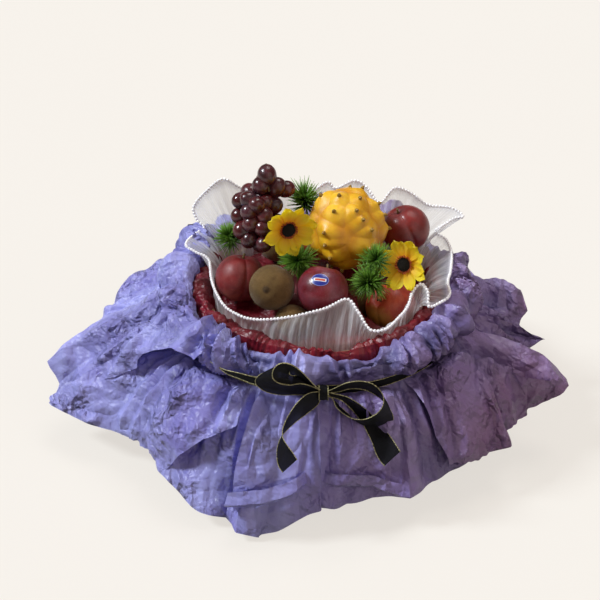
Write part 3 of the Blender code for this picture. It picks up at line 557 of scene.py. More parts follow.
def red_paper(material):
    """Dark red tissue: gathered ring over the rim and the crumpled filling inside it, with painted shade in
    the ring's folds and over the whole filling.
    """
    columns = 620
    azimuth = np.linspace(0, 360, columns, endpoint=False)
    profile = [(0.1458, 0.1450), (0.1460, 0.1600), (0.1452, 0.1720), (0.1415, 0.1795), (0.1360, 0.1815),
               (0.1305, 0.1785), (0.1268, 0.1710), (0.1245, 0.1640), (0.1232, 0.1590), (0.1212, 0.1580),
               (0.1190, 0.1583)]
    a, w, ring = turned(profile, azimuth, 34)
    normal = -grid_normals(ring)
    swell = np.sin(np.pi * np.clip(w / 0.8, 0, 1)) ** 0.7
    slant = 8 * (w - 0.4) * wander(a, 35, (4, 9, 13))
    folds = pleats(a + slant, 90, 43, 4.4) * 0.35 + pleats(a - slant, 37, 47, 4.6) * 0.85
    rough = crumple(drum(a, w * 0.06, 0.138), 91, ((0.050, 5, 0.44), (0.022, 4, 0.34)))
    lift = swell * ((folds - 0.65) * 0.0056 + rough)
    ring = ring + normal * lift[..., None]
    # Painted shade in the ring's fold valleys.
    ring_shade = np.clip(0.40 - folds * 0.50 - rough * 90, 0, 0.85) * swell

    shares = np.linspace(0.99, 0.0, 40)
    a2, s2 = np.meshgrid(azimuth, shares)
    spot_x = 0.119 * s2 * np.cos(np.radians(a2))
    spot_y = 0.119 * s2 * np.sin(np.radians(a2))
    top = mound_height(spot_x, spot_y)
    edge = smooth_step((1 - s2) * 12)
    top = 0.1583 + (top - 0.1583) * edge
    dents = crumple(np.stack([spot_x, spot_y, 0 * spot_x], axis=-1), 57, ((0.050, 5, 0.30), (0.022, 5, 0.30)))
    top = top - edge * (np.abs(dents) + 0.0004)
    mound = np.stack([spot_x, spot_y, top], axis=-1)
    points = np.concatenate([ring, mound], axis=0)
    # Painted shade: the whole filling is darkened a little, as it lies in shade between the fruit.
    shades = np.concatenate([ring_shade, 0.25 + 0 * spot_x], axis=0)
    piece = make_piece("red_tissue_paper", points, grid_faces(points.shape[0], columns, True), material,
                       shades=shades, crease=12)
    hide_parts("red_tissue")
    return piece


def fruit_spheres():
    """Centre and half size of each fruit, from the CAD nodes' boxes."""
    names = ["dragon_fruit", "kiwi_front", "kiwi_low", "kiwi_shade", "kiwi_back", "plum_front", "plum_back",
             "plum_far", "nectarine_left", "nectarine_right", "nectarine_back"]
    spheres = []
    for name in names:
        low, high = (np.array(corner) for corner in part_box(name))
        spheres.append(((low + high) / 2, (high - low) / 2))
    return spheres


def mound_height(x, y):
    """Top of the filling: it dips under every fruit and fills between them."""
    centre_distance = np.hypot(x, y)
    height = 0.196 - 0.028 * smooth_step(centre_distance / 0.105)
    for centre, half in fruit_spheres():
        reach = half.max()
        distance = np.maximum(0.0, np.hypot(x - centre[0], y - centre[1]) - 0.010)
        inside = distance < reach
        under = centre[2] - half[2] / reach * np.sqrt(np.maximum(reach ** 2 - distance ** 2, 0))
        height = np.where(inside, np.minimum(height, under - 0.0006), height)
    return height


# ---------------------------------------------------------------- tulle and pearls
# The net's free edge: azimuth at the foot, then azimuth in degrees, distance from the axis and height in
# mm. The front was picked off the photo through a guessed camera by a helper script.
TULLE_EDGE = [
    (40, 42, 150, 240), (48, 48, 136, 247), (54, 54, 126, 226), (63, 63, 131, 238),
    (72, 70, 130, 246), (80, 80, 122, 236), (87, 85, 124, 243), (97, 98, 122, 226),
    (108, 110, 130, 238), (119, 121, 128, 226), (128, 133, 140, 248), (135, 138, 151, 259),
    (141, 142, 162, 250), (146, 146, 181, 222), (151, 148, 171, 208), (156, 149, 160, 203),
    (160, 155, 165, 200), (165, 164, 163, 201), (171, 168, 147, 200), (177, 173, 129, 199),
    (187, 189, 125, 197), (200, 203, 127, 197), (214, 217, 130, 194), (226, 230, 127, 193),
    (238, 241, 122, 197), (250, 253, 116, 203), (261, 263, 113, 209), (270, 274, 105, 211),
    (280, 288, 95, 213), (287, 292, 110, 204), (293, 294, 131, 193), (300, 300, 139, 193),
    (307, 309, 133, 195), (315, 319, 128, 199), (321, 328, 121, 205), (326, 332, 127, 213),
    (330, 329, 139, 210), (334, 325, 146, 199), (338, 330, 152, 198), (343, 337, 157, 199),
    (349, 347, 149, 199), (356, 357, 151, 199), (365, 371, 158, 200), (372, 381, 162, 201),
    (378, 387, 157, 204), (382, 386, 165, 212), (386, 386, 181, 218), (389, 386, 193, 217),
    (392, 391, 186, 223), (396, 397, 165, 225),
]


def closed_curve(points, steps):
    """Points of a Catmull-Rom curve through a closed list of points."""
    points = np.asarray(points, float)
    a, b = np.roll(points, 1, axis=0), points
    c, d = np.roll(points, -1, axis=0), np.roll(points, -2, axis=0)
    path = []
    for s in range(steps):
        t = s / steps
        path.append(0.5 * (2 * b + (c - a) * t + (2 * a - 5 * b + 4 * c - d) * t ** 2
                           + (3 * b - a - 3 * c + d) * t ** 3))
    return np.stack(path, axis=1).reshape(-1, 3)


def even_path(path, step):
    """The closed path again, with its points a fixed step apart."""
    loop = np.concatenate([path, path[:1]])
    lengths = np.linalg.norm(np.diff(loop, axis=0), axis=1)
    distance = np.concatenate([[0], np.cumsum(lengths)])
    count = int(round(distance[-1] / step))
    marks = np.linspace(0, distance[-1], count, endpoint=False)
    return np.stack([np.interp(marks, distance, loop[:, k]) for k in range(3)], axis=1)


def tulle_curves():
    base = [polar_points(TULLE_BASE, row[0], SEAT_HEIGHT + 0.0005) for row in TULLE_EDGE]
    edge = [polar_points(row[2] * 0.001, row[1], row[3] * 0.001) for row in TULLE_EDGE]
    base = closed_curve(base, 24)
    edge = closed_curve(edge, 24)
    for _ in range(10):
        edge = 0.25 * np.roll(edge, 1, axis=0) + 0.5 * edge + 0.25 * np.roll(edge, -1, axis=0)
    return base, edge


def tulle_material():
    """Sheer white net: see-through, with opaque gather streaks and a faint weave."""
    material, tree, output = new_material("tulle_look")
    along, up = uv_parts(tree)
    stretched = node(tree, "CombineXYZ", {"X": maths(tree, "MULTIPLY", along, 420.0),
                                          "Y": maths(tree, "MULTIPLY", up, 2.2)}).outputs[0]
    streaks = node(tree, "TexNoise", {"Scale": 1.0, "Detail": 3.0, "Roughness": 0.6,
                                      "Vector": stretched}).outputs["Fac"]
    streak = spread(tree, streaks, 0.42, 0.78)
    folds = node(tree, "TexNoise", {"Scale": 0.22, "Detail": 2.0, "Vector": stretched}).outputs["Fac"]
    edge_band = spread(tree, up, 0.93, 0.99)
    cover = maths(tree, "ADD", spread(tree, folds, 0.35, 0.7, 0.24, 0.44),
                  maths(tree, "MULTIPLY", streak, 0.30))
    cover = maths(tree, "ADD", cover, maths(tree, "MULTIPLY", edge_band, 0.35))
    cover = node(tree, "Math", {0: cover, 1: 0.95}, operation="MINIMUM").outputs[0]
    weave = maths(tree, "MULTIPLY", noise(tree, 1400, 1), 0.12)
    cover = maths(tree, "ADD", cover, weave)
    colour = srgb(248, 248, 250)
    cloth = principled(tree, None, colour, 0.55, Sheen_Weight=0.4)
    through = node(tree, "BsdfTranslucent", {"Color": (*colour, 1)})
    body = node(tree, "MixShader", {0: 0.4, 1: cloth.outputs[0], 2: through.outputs[0]})
    clear = node(tree, "BsdfTransparent")
    surface_mix(tree, output, cover, clear, body)
    return material


def tulle(material):
    """Gathered net: upright where the red tissue holds it, then leaning to its free edge."""
    base, edge = tulle_curves()
    count = len(base)
    rows = 26
    t = np.linspace(0, 1, rows)[:, None, None]
    out = base.copy()
    out[:, 2] = 0
    out /= np.linalg.norm(out, axis=1, keepdims=True)
    shoulder = base + out * 0.0004
    shoulder[:, 2] = TULLE_SHOULDER - 0.004
    knee = shoulder + (edge - shoulder) * 0.22
    knee[:, 2] += 0.0035
    points = ((1 - t) ** 3 * base + 3 * (1 - t) ** 2 * t * shoulder + 3 * (1 - t) * t ** 2 * knee
              + t ** 3 * edge)
    normal = grid_normals(points)
    turn = np.linspace(0, 360, count, endpoint=False)[None, :]
    share = t[..., 0]
    gathers = (np.sin(np.radians(turn) * 118 + 5 * wander(turn, 3, (5, 9, 15))) * 0.0009
               + np.sin(np.radians(turn) * 67 + 4 * wander(turn, 9, (4, 7, 12))) * 0.0008)
    billow = wander(turn, 12, (9, 14, 21)) * 0.0018
    ease = np.sin(np.pi * np.clip(share, 0, 1)) ** 0.6
    points = points + normal * (gathers * (0.35 + 0.65 * ease) * (1 - smooth_step((share - 0.8) / 0.2))
                                + billow * ease)[..., None]
    length = np.cumsum(np.linalg.norm(edge - np.roll(edge, 1, axis=0), axis=1))
    uv = np.stack([np.broadcast_to(length, (rows, count)), np.broadcast_to(share, (rows, count))],
                  axis=-1)
    piece = make_piece("tulle_ruffle_net", points, grid_faces(rows, count, True), material, uv=uv)
    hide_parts("tulle_ruffle")
    return piece


def small_ball(segments, rings):
    """Unit ball as points and faces, for joined meshes of many balls."""
    points = [(0, 0, 1)]
    for i in range(1, rings):
        for j in range(segments):
            tilt = math.pi * i / rings
            turn = 2 * math.pi * j / segments
            points.append((math.sin(tilt) * math.cos(turn), math.sin(tilt) * math.sin(turn), math.cos(tilt)))
    points.append((0, 0, -1))
    faces = []
    for j in range(segments):
        k = (j + 1) % segments
        faces.append((0, 1 + j, 1 + k))
        last = 1 + (rings - 2) * segments
        faces.append((len(points) - 1, last + k, last + j))
    for i in range(rings - 2):
        for j in range(segments):
            k = (j + 1) % segments
            upper = 1 + i * segments
            faces.append((upper + j, upper + segments + j, upper + segments + k, upper + k))
    return np.array(points), faces


def joined(shapes):
    """One list of points and faces from several (points, faces)."""
    points = []
    faces = []
    start = 0
    for shape_points, shape_faces in shapes:
        points.append(shape_points)
        faces += [tuple(index + start for index in face) for face in shape_faces]
        start += len(shape_points)
    return np.concatenate(points), faces


def pearl_material():
    material, tree, output = new_material("pearl_look")
    tint = blend(tree, noise(tree, 260, 1), srgb(252, 252, 252), srgb(240, 238, 242))
    # The small emission is a painted glow that keeps the pearls white where they lie in shade.
    principled(tree, output, tint, 0.28, Coat_Weight=0.4, Coat_Roughness=0.15,
               Emission_Color=(0.9, 0.9, 0.92, 1.0), Emission_Strength=0.12)
    return material


PEARL_PITCH = 0.0040
PEARL_RADIUS = 0.00185


def pearls(material):
    path = even_path(tulle_curves()[1], PEARL_PITCH)
    ball, faces = small_ball(8, 6)
    rng = random.Random(4)
    shapes = []
    for point in path:
        size = PEARL_RADIUS * rng.uniform(0.94, 1.06)
        nudge = np.array([rng.uniform(-1, 1) for _ in range(3)]) * 0.00015
        shapes.append((ball * size + point + nudge, faces))
    thread = path_tube(path, 0.0004, 5, closed=True)
    points, faces = joined(shapes + [thread])
    piece = make_piece("pearl_strand_beads", points, faces, material)
    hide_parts("pearl_strand")
    return piece


def path_tube(path, radius, sides, closed=False):
    """Round tube along a path, as points and faces; radius may be one number or one per point."""
    path = np.asarray(path, float)
    count = len(path)
    radius = np.broadcast_to(np.asarray(radius, float), (count,))
    if closed:
        along = np.roll(path, -1, axis=0) - np.roll(path, 1, axis=0)
    else:
        along = np.gradient(path, axis=0)
    along /= np.maximum(np.linalg.norm(along, axis=1, keepdims=True), 1e-12)
    side = np.cross(along, (0.02, 0.05, 1.0))
    side /= np.maximum(np.linalg.norm(side, axis=1, keepdims=True), 1e-9)
    up = np.cross(side, along)
    angle = np.linspace(0, 2 * math.pi, sides, endpoint=False)
    ring = (side[:, None, :] * np.cos(angle)[None, :, None] + up[:, None, :] * np.sin(angle)[None, :, None])
    points = (path[:, None, :] + ring * radius[:, None, None]).reshape(-1, 3)
    faces = []
    for i in range(count if closed else count - 1):
        j = (i + 1) % count
        for k in range(sides):
            m = (k + 1) % sides
            faces.append((i * sides + k, j * sides + k, j * sides + m, i * sides + m))
    if not closed:
        faces.append(tuple(range(sides)))
        faces.append(tuple((count - 1) * sides + k for k in reversed(range(sides))))
    return points, faces


# ---------------------------------------------------------------- fruit
def aim(direction, spin=0.0):
    """Rotation that takes +Z to the direction, after a turn about Z in degrees."""
    turn = Vector(direction).to_track_quat("Z", "Y").to_matrix() @ Matrix.Rotation(math.radians(spin), 3, "Z")
    return np.array(turn)


def centre_of(node_name):
    low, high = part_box(node_name)
    return (np.array(low) + np.array(high)) / 2


def round_grid(segments, rings):
    """Directions of a ball as a grid of rings by segments, poles left out."""
    tilt = np.linspace(0, math.pi, rings + 2)[1:-1]
    turn = np.linspace(0, 2 * math.pi, segments, endpoint=False)
    tilt, turn = np.meshgrid(tilt, turn, indexing="ij")
    return np.stack([np.sin(tilt) * np.cos(turn), np.sin(tilt) * np.sin(turn), np.cos(tilt)], axis=-1)


def star_shape(reach, segments=96, rings=60):
    """Closed body: reach(directions) gives the distance from its centre to its skin."""
    grid = round_grid(segments, rings)
    poles = np.array([[0, 0, 1.0], [0, 0, -1.0]])
    points = np.concatenate([(grid * reach(grid)[..., None]).reshape(-1, 3),
                             poles * reach(poles)[:, None]])
    faces = [tuple(face) for face in grid_faces(rings, segments, True)[:, ::-1]]
    top = rings * segments
    for j in range(segments):
        k = (j + 1) % segments
        faces.append((top, j, k))
        faces.append((top + 1, (rings - 1) * segments + k, (rings - 1) * segments + j))
    return points, faces


def lumps(direction, seed, size=1.0):
    """Slight unevenness of a grown thing, about -1 to 1."""
    rng = random.Random(seed)
    total = 0
    for _ in range(5):
        axis = np.array([rng.uniform(-1, 1) for _ in range(3)])
        axis /= np.linalg.norm(axis)
        total = total + 0.35 * np.sin(direction @ axis * size * rng.uniform(1.5, 3.5) + rng.uniform(0, 6.3))
    return total


def kiwi_material():
    material, tree, output = new_material("kiwi_look")
    mottle = noise(tree, 120, 4, 0.6)
    tint = blend(tree, spread(tree, mottle, 0.3, 0.7), srgb(84, 60, 30), srgb(118, 90, 50))
    green = spread(tree, noise(tree, 28, 2), 0.42, 0.70, 0.0, 0.5)
    tint = blend(tree, green, tint, srgb(98, 84, 44))
    scar = shade_of(tree)
    tint = blend(tree, spread(tree, scar, 0.15, 0.6, 0.0, 0.9), tint, srgb(44, 28, 16))
    fuzz = noise(tree, 1500, 2, 0.7)
    tint = blend(tree, spread(tree, fuzz, 0.4, 0.75, 0.0, 0.35), tint, srgb(140, 114, 70))
    normal = bump(tree, fuzz, 0.0006, 0.9)
    normal = bump(tree, noise(tree, 240, 3), 0.0008, 0.4, normal)
    principled(tree, output, tint, 0.82, normal, Sheen_Weight=0.15, Sheen_Roughness=0.4,
               Specular_IOR_Level=0.25)
    return material


def kiwi(node_name, across, along, direction, material, seed):
    """Kiwi fruit: uneven oval with a puckered blossom end and a coat of short hairs."""
    def reach(d):
        flat = d[..., 0] ** 2 + d[..., 1] ** 2
        oval = 1 / np.sqrt(flat / across ** 2 + d[..., 2] ** 2 / along ** 2)
        end = np.exp(-((1 - d[..., 2]) / 0.005)) * 0.070 - np.exp(-((1 - d[..., 2]) / 0.030)) * 0.050
        return oval * (1 + 0.012 * lumps(d, seed) + end)
    points, faces = star_shape(reach)
    turn = aim(direction)
    toward_end = points[:, 2] / np.linalg.norm(points, axis=1)
    shade = np.exp(-((1 - toward_end) / 0.010))
    hairs, hair_faces = hair_coat(points, faces, 5200, 0.0011, seed)
    all_points, all_faces = joined([(points, faces), (hairs, hair_faces)])
    shades = np.concatenate([shade, np.zeros(len(hairs))])
    piece = make_piece(node_name + "_fruit", all_points @ turn.T + centre_of(node_name), all_faces, material,
                       shades=shades)
    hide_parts(node_name)
    return piece


def hair_coat(points, faces, count, length, seed):
    """Short fine hairs on a body, each one thin triangle."""
    rng = np.random.default_rng(seed)
    quads = np.array([face for face in faces if len(face) == 4])
    corners = points[quads]
    area = np.linalg.norm(np.cross(corners[:, 2] - corners[:, 0], corners[:, 3] - corners[:, 1]), axis=1)
    pick = rng.choice(len(quads), count, p=area / area.sum())
    u, v = rng.random((2, count, 1))
    root = ((1 - u) * (1 - v) * corners[pick, 0] + u * (1 - v) * corners[pick, 1]
            + u * v * corners[pick, 2] + (1 - u) * v * corners[pick, 3])
    out = root / np.linalg.norm(root, axis=1, keepdims=True)
    lean = rng.normal(0, 0.55, (count, 3))
    tip = root + (out + lean) * length * rng.uniform(0.5, 1.2, (count, 1))
    side = np.cross(out, rng.normal(0, 1, (count, 3)))
    side /= np.linalg.norm(side, axis=1, keepdims=True)
    wide = 0.00007
    spikes = np.stack([root - side * wide, root + side * wide, tip], axis=1).reshape(-1, 3)
    return spikes, [(3 * i, 3 * i + 1, 3 * i + 2) for i in range(count)]


def stone_fruit_reach(radius, cleft, seed):
    """Round fruit with a dimple at the stem (+Z) and a cleft down one side (+X)."""
    def reach(d):
        side = np.arctan2(d[..., 1], d[..., 0])
        waist = np.sqrt(np.maximum(0.0, 1 - d[..., 2] ** 2))
        dimple = 0.15 * np.exp(-((1 - d[..., 2]) / 0.030)) + 0.05 * np.exp(-((1 - d[..., 2]) / 0.15))
        groove = cleft * (np.exp(-np.abs(side / 0.13)) + 0.6 * np.exp(-(side / 0.5) ** 2)) * waist
        return radius * (1 - dimple - groove - 0.02 * d[..., 2] ** 2 + 0.010 * lumps(d, seed))
    return reach


def skin_material(name, deep, bright, bloom, patch=None, patch_share=(0.55, 0.75), gloss=0.32, mottle=38):
    """Smooth fruit skin: two reds that drift, pale flecks, dusty bloom and an optional ripe patch."""
    material, tree, output = new_material(name)
    drift = noise(tree, mottle, 4, 0.6, distortion=0.5)
    tint = blend(tree, spread(tree, drift, 0.32, 0.68), deep, bright)
    mask = shade_of(tree)
    if patch is not None:
        streaky = maths(tree, "ADD", mask, maths(tree, "MULTIPLY", maths(tree, "SUBTRACT", drift, 0.5), 0.9))
        tint = blend(tree, spread(tree, streaky, *patch_share), tint, patch)
    flecks = cells(tree, 520)
    tint = blend(tree, spread(tree, flecks, 0.10, 0.20, 0.40, 0.0), tint, bloom)
    dust = spread(tree, noise(tree, 55, 4, 0.65), 0.40, 0.75, 0.0, 0.30)
    tint = blend(tree, dust, tint, bloom)
    rough = spread(tree, noise(tree, 90, 3), 0.3, 0.7, gloss - 0.05, gloss + 0.14)
    normal = bump(tree, noise(tree, 420, 2), 0.00025, 0.5)
    principled(tree, output, tint, rough, normal, Subsurface_Weight=0.12,
               Subsurface_Radius=(0.006, 0.002, 0.0015), Subsurface_Scale=1.0, Specular_IOR_Level=0.5)
    return material


def facing(up, front):
    """Rotation that takes +Z to the first direction and +X as near as it can to the second."""
    up = np.array(up, float)
    up /= np.linalg.norm(up)
    front = np.array(front, float)
    front = front - (front @ up) * up
    front /= np.linalg.norm(front)
    return np.stack([front, np.cross(up, front), up], axis=1)


def stone_fruit(node_name, radius, cleft, stem_way, cleft_way, material, seed, patch_toward=None):
    turn = facing(stem_way, cleft_way)
    points, faces = star_shape(stone_fruit_reach(radius, cleft, seed))
    points = points @ turn.T
    shades = np.zeros(len(points))
    if patch_toward is not None:
        toward = np.array(patch_toward, float)
        toward /= np.linalg.norm(toward)
        shades = smooth_step((points @ toward / radius - 0.15) / 0.85)
    stem = np.array([(0, 0, 0.82), (0.01, 0, 0.88), (0.02, 0.01, 0.94), (0.05, 0.02, 1.00)]) * radius
    stem = path_tube(stem @ turn.T, [0.0018, 0.0013, 0.0011, 0.0015], 8)
    body = len(points)
    points, faces = joined([(points, faces), stem])
    slots = [0 if max(face) < body else 1 for face in faces]
    shades = np.concatenate([shades, np.zeros(len(points) - body)])
    piece = make_piece(node_name + "_fruit", points + centre_of(node_name), faces,
                       [material, look["stalk"]], shades=shades, slots=slots)
    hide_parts(node_name)
    return piece


def sticker_material():
    """Blank fruit label: blue oval, white band across it, an orange-red bar and a pale rim."""
    material, tree, output = new_material("sticker_look")
    u, v = uv_parts(tree)
    squares = maths(tree, "ADD", maths(tree, "POWER", u, 2.0), maths(tree, "POWER", v, 2.0))
    from_middle = maths(tree, "SQRT", squares)
    height = maths(tree, "ABSOLUTE", v)
    tint = blend(tree, spread(tree, from_middle, 0.91, 0.94), srgb(34, 46, 140), srgb(130, 140, 200))
    band = maths(tree, "MULTIPLY", spread(tree, height, 0.24, 0.28, 1.0, 0.0),
                 spread(tree, from_middle, 0.70, 0.74, 1.0, 0.0))
    tint = blend(tree, band, tint, srgb(226, 224, 232))
    bar = maths(tree, "MULTIPLY", spread(tree, height, 0.13, 0.17, 1.0, 0.0),
                spread(tree, from_middle, 0.54, 0.58, 1.0, 0.0))
    tint = blend(tree, bar, tint, srgb(206, 84, 52))
    principled(tree, output, tint, 0.30, Coat_Weight=0.3)
    return material


def sticker(node_name, reach, turn, toward, half_width, half_height, material):
    """Oval label that follows the fruit's skin, centred on the direction given."""
    toward = np.array(toward, float) / np.linalg.norm(toward)
    right = np.cross((0, 0, 1.0), toward)
    right /= np.linalg.norm(right)
    over = np.cross(toward, right)
    rings, segments = 9, 40
    round_it = np.linspace(0, 2 * math.pi, segments, endpoint=False)
    share, angle = np.meshgrid(np.linspace(0.001, 1, rings), round_it, indexing="ij")
    u, v = share * np.cos(angle), share * np.sin(angle)
    way = toward + u[..., None] * right * half_width + v[..., None] * over * half_height
    way /= np.linalg.norm(way, axis=-1, keepdims=True)
    points = way * (reach(way @ turn) + 0.0003)[..., None] + centre_of(node_name)
    return make_piece(node_name + "_sticker", points, grid_faces(rings, segments, True), material,
                      uv=np.stack([u, v], axis=-1))


def stalk_material():
    material, tree, output = new_material("stalk_look")
    tint = blend(tree, noise(tree, 500, 3), srgb(74, 56, 30), srgb(128, 108, 62))
    principled(tree, output, tint, 0.8, bump(tree, noise(tree, 900, 2), 0.0003))
    return material


DRAGON_AXIS = (0.50, -0.62, -0.60)
DRAGON_CENTRE = (0.031, 0.015, 0.242)


def dragon_bumps():
    """Directions of the fruit's blunt bumps, in rows round its axis."""
    bumps = []
    for row in range(-3, 4):
        height = 0.27 * row
        waist = math.sqrt(1 - height ** 2)
        count = (3, 5, 6, 7, 6, 5, 3)[row + 3]
        for k in range(count):
            angle = 2 * math.pi * (k + 0.5 * (row % 2) + 0.12 * math.sin(3 * k + row)) / count + 0.25 * row
            bumps.append((waist * math.cos(angle), waist * math.sin(angle), height + 0.03 * math.sin(5 * k)))
    return np.array(bumps)


def dragon_material():
    material, tree, output = new_material("dragon_fruit_look")
    drift = noise(tree, 32, 4, 0.6, distortion=0.4)
    tint = blend(tree, spread(tree, drift, 0.35, 0.68), srgb(230, 168, 18), srgb(250, 200, 44))
    burnt = spread(tree, noise(tree, 17, 3, 0.6), 0.50, 0.72, 0.0, 0.45)
    tint = blend(tree, burnt, tint, srgb(206, 118, 22))
    tip = shade_of(tree)
    # Painted shade: deeper orange in the valleys between the bumps.
    tint = blend(tree, spread(tree, tip, 0.02, 0.28, 0.60, 0.0), tint, srgb(196, 112, 12))
    tint = blend(tree, spread(tree, tip, 0.52, 0.66, 0.0, 0.6), tint, srgb(204, 168, 70))
    tint = blend(tree, spread(tree, tip, 0.84, 0.93), tint, srgb(98, 70, 30))
    pores = cells(tree, 900)
    tint = blend(tree, spread(tree, pores, 0.1, 0.25, 0.18, 0.0), tint, srgb(250, 214, 110))
    normal = bump(tree, noise(tree, 150, 4, 0.6), 0.0009, 0.5)
    principled(tree, output, tint, spread(tree, drift, 0.3, 0.7, 0.36, 0.5), normal, Subsurface_Weight=0.12,
               Subsurface_Radius=(0.008, 0.004, 0.001), Subsurface_Scale=1.0)
    return material


def dragon_fruit(material):
    """Yellow pitahaya: angular bumps that lean towards the flower end and end in small scales."""
    bumps = dragon_bumps()
    bumps /= np.linalg.norm(bumps, axis=1, keepdims=True)

    def nearest(d):
        closeness = np.einsum("...k,nk->...n", d, bumps)
        ordered = np.sort(closeness, axis=-1)
        return ordered[..., -1], ordered[..., -2]

    def reach(d):
        flat = d[..., 0] ** 2 + d[..., 1] ** 2
        oval = 1 / np.sqrt(flat / 0.0430 ** 2 + d[..., 2] ** 2 / 0.0480 ** 2)
        first, second = nearest(d)
        angle = np.arccos(np.clip(first, -1, 1))
        other = np.arccos(np.clip(second, -1, 1))
        cone = np.clip(1 - angle / 0.50, 0, 1)
        valley = np.clip((other - angle) / 0.25, 0, 1)
        rise = 0.130 * cone ** 1.15 + 0.020 * np.exp(-(angle / 0.06) ** 2)
        ribs = 0.020 * np.cos(7 * np.arctan2(d[..., 1], d[..., 0]) + 2.0 * d[..., 2]) * np.sqrt(flat)
        return oval * (0.935 + rise + 0.014 * valley + ribs + 0.008 * lumps(d, 3, 2.0))

    points, faces = star_shape(reach, 220, 140)
    direction = points / np.linalg.norm(points, axis=1, keepdims=True)
    first, _ = nearest(direction)
    angle = np.arccos(np.clip(first, -1, 1))
    shade = 0.6 * np.clip(1 - angle / 0.42, 0, 1) + 0.4 * np.exp(-(angle / 0.05) ** 2)
    turn = aim(DRAGON_AXIS)
    shapes = [(points @ turn.T, faces)]
    spikes = []
    for number, way in enumerate(bumps):
        root = way * float(reach(way[None])[0]) * 0.985
        hook = np.cross(way, np.array([0.3, 0.2, 1.0])) * 0.15 + np.array([0, 0, 0.55])
        tip_way = way + hook * (0.5 + 0.3 * math.sin(number))
        tip_way /= np.linalg.norm(tip_way)
        line = [root, root + tip_way * 0.0016, root + tip_way * 0.0030, root + tip_way * 0.0038]
        spikes.append(path_tube(np.array(line) @ turn.T, [0.0026, 0.0019, 0.0010, 0.0003], 7))
    end = np.array([0, 0, 0.0455])
    for k in range(9):
        angle = 2 * math.pi * k / 9
        side = np.array([math.cos(angle), math.sin(angle), 0])
        line = [end + side * 0.004, end + side * 0.0055 + np.array([0, 0, 0.003]),
                end + side * 0.0080 + np.array([0, 0, 0.0055])]
        spikes.append(path_tube(np.array(line) @ turn.T, [0.0016, 0.0011, 0.0003], 6))
    body = len(points)
    all_points, all_faces = joined(shapes + spikes)
    shades = np.concatenate([shade, np.full(len(all_points) - body, 0.9)])
    piece = make_piece("dragon_fruit_body", all_points + np.array(DRAGON_CENTRE), all_faces, material,
                       shades=shades)
    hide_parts("dragon_fruit")
    return piece


# Centres of the outer grapes in mm. Across and up they began as spots in the photo; depths are guessed.
GRAPES = [
    (-59, 20, 307), (-66, 15, 296), (-49, 20, 291), (-38, 24, 287), (-88, 12, 279),
    (-79, 4, 284), (-62, 8, 278), (-70, -4, 282), (-52, 12, 272), (-90, 8, 262),
    (-78, -4, 274), (-62, -6, 270), (-76, -8, 261), (-64, -12, 257), (-86, -3, 250),
    (-79, -12, 242), (-62, -18, 241), (-55, -8, 250), (-66, -8, 236), (-48, 4, 255),
    (-74, 10, 250), (-60, 8, 240),
]


def grape_material():
    material, tree, output = new_material("grape_look")
    drift = noise(tree, 40, 3, 0.6)
    tint = blend(tree, spread(tree, drift, 0.35, 0.65), srgb(50, 10, 14), srgb(92, 20, 24))
    dust = spread(tree, noise(tree, 70, 4, 0.7), 0.45, 0.75, 0.0, 0.40)
    tint = blend(tree, dust, tint, srgb(110, 84, 100))
    rough = spread(tree, noise(tree, 110, 3), 0.3, 0.7, 0.18, 0.36)
    principled(tree, output, tint, rough, bump(tree, noise(tree, 300, 2), 0.0002, 0.5),
               Subsurface_Weight=0.25, Subsurface_Radius=(0.006, 0.0015, 0.0012), Subsurface_Scale=1.0,
               Specular_IOR_Level=0.6)
    return material


def spread_apart(fixed, loose, gap, rounds=40):
    """Push the loose points away from the fixed ones and from each other."""
    centres = np.concatenate([fixed, loose])
    held = len(fixed)
    for _ in range(rounds):
        for i in range(len(centres)):
            offset = centres - centres[i]
            distance = np.linalg.norm(offset, axis=1)
            distance[i] = 1.0
            close = distance < gap
            close[:held] = False
            centres[close] += offset[close] / distance[close, None] * (gap - distance[close, None]) * 0.4
    return centres


def grapes(material):
    """Every grape of the bunch, its small stalks, and the ones within that fill the gaps."""
    rng = random.Random(12)
    outer = np.array(GRAPES, float) * 0.001
    inner = []
    spine = np.array([(-59, 28, 290), (-66, 24, 278), (-72, 22, 266), (-72, 16, 256), (-66, 14, 246)]) * 0.001
    for point in spine:
        inner.append(point)
        behind = np.array([rng.uniform(-1, 1), rng.uniform(0.6, 1.2), rng.uniform(-1, 0.3)])
        inner.append(point + behind * 0.012)
    centres = spread_apart(outer, np.array(inner), 0.0178)
    ball_points, ball_faces = star_shape(lambda d: 1 + 0 * d[..., 0], 26, 16)
    shapes = []
    stalks = []
    core = np.array([-0.066, 0.012, 0.268])
    for centre in centres:
        radius = 0.0103 * rng.uniform(0.93, 1.07)
        way = centre - (core + np.array([0, 0, 0.35 * (centre[2] - core[2])]))
        way = way / np.linalg.norm(way) + np.array([rng.uniform(-0.4, 0.4) for _ in range(3)])
        shape = ball_points * np.array([radius, radius, radius * rng.uniform(1.08, 1.20)])
        shapes.append((shape @ aim(way).T + centre, ball_faces))
        back = centre - way / np.linalg.norm(way) * radius * 1.12
        stalks.append(path_tube([back, back - way * 0.004, back - way * 0.009], [0.0009, 0.0008, 0.0011], 6))
    points, faces = joined(shapes)
    piece = make_piece("grape_bunch_grapes", points, faces, material)
    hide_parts("grape_bunch")
    main_stem = path_tube(np.array([(-60, 26, 318), (-59, 24, 306), (-63, 17, 288), (-69, 12, 268),
                                    (-70, 6, 252), (-67, 0, 242)]) * 0.001,
                          [0.0012, 0.0013, 0.0016, 0.0018, 0.0018, 0.0016], 8)
    points, faces = joined(stalks + [main_stem])
    make_piece("grape_bunch_stems", points, faces, look["stalk"])
    return piece


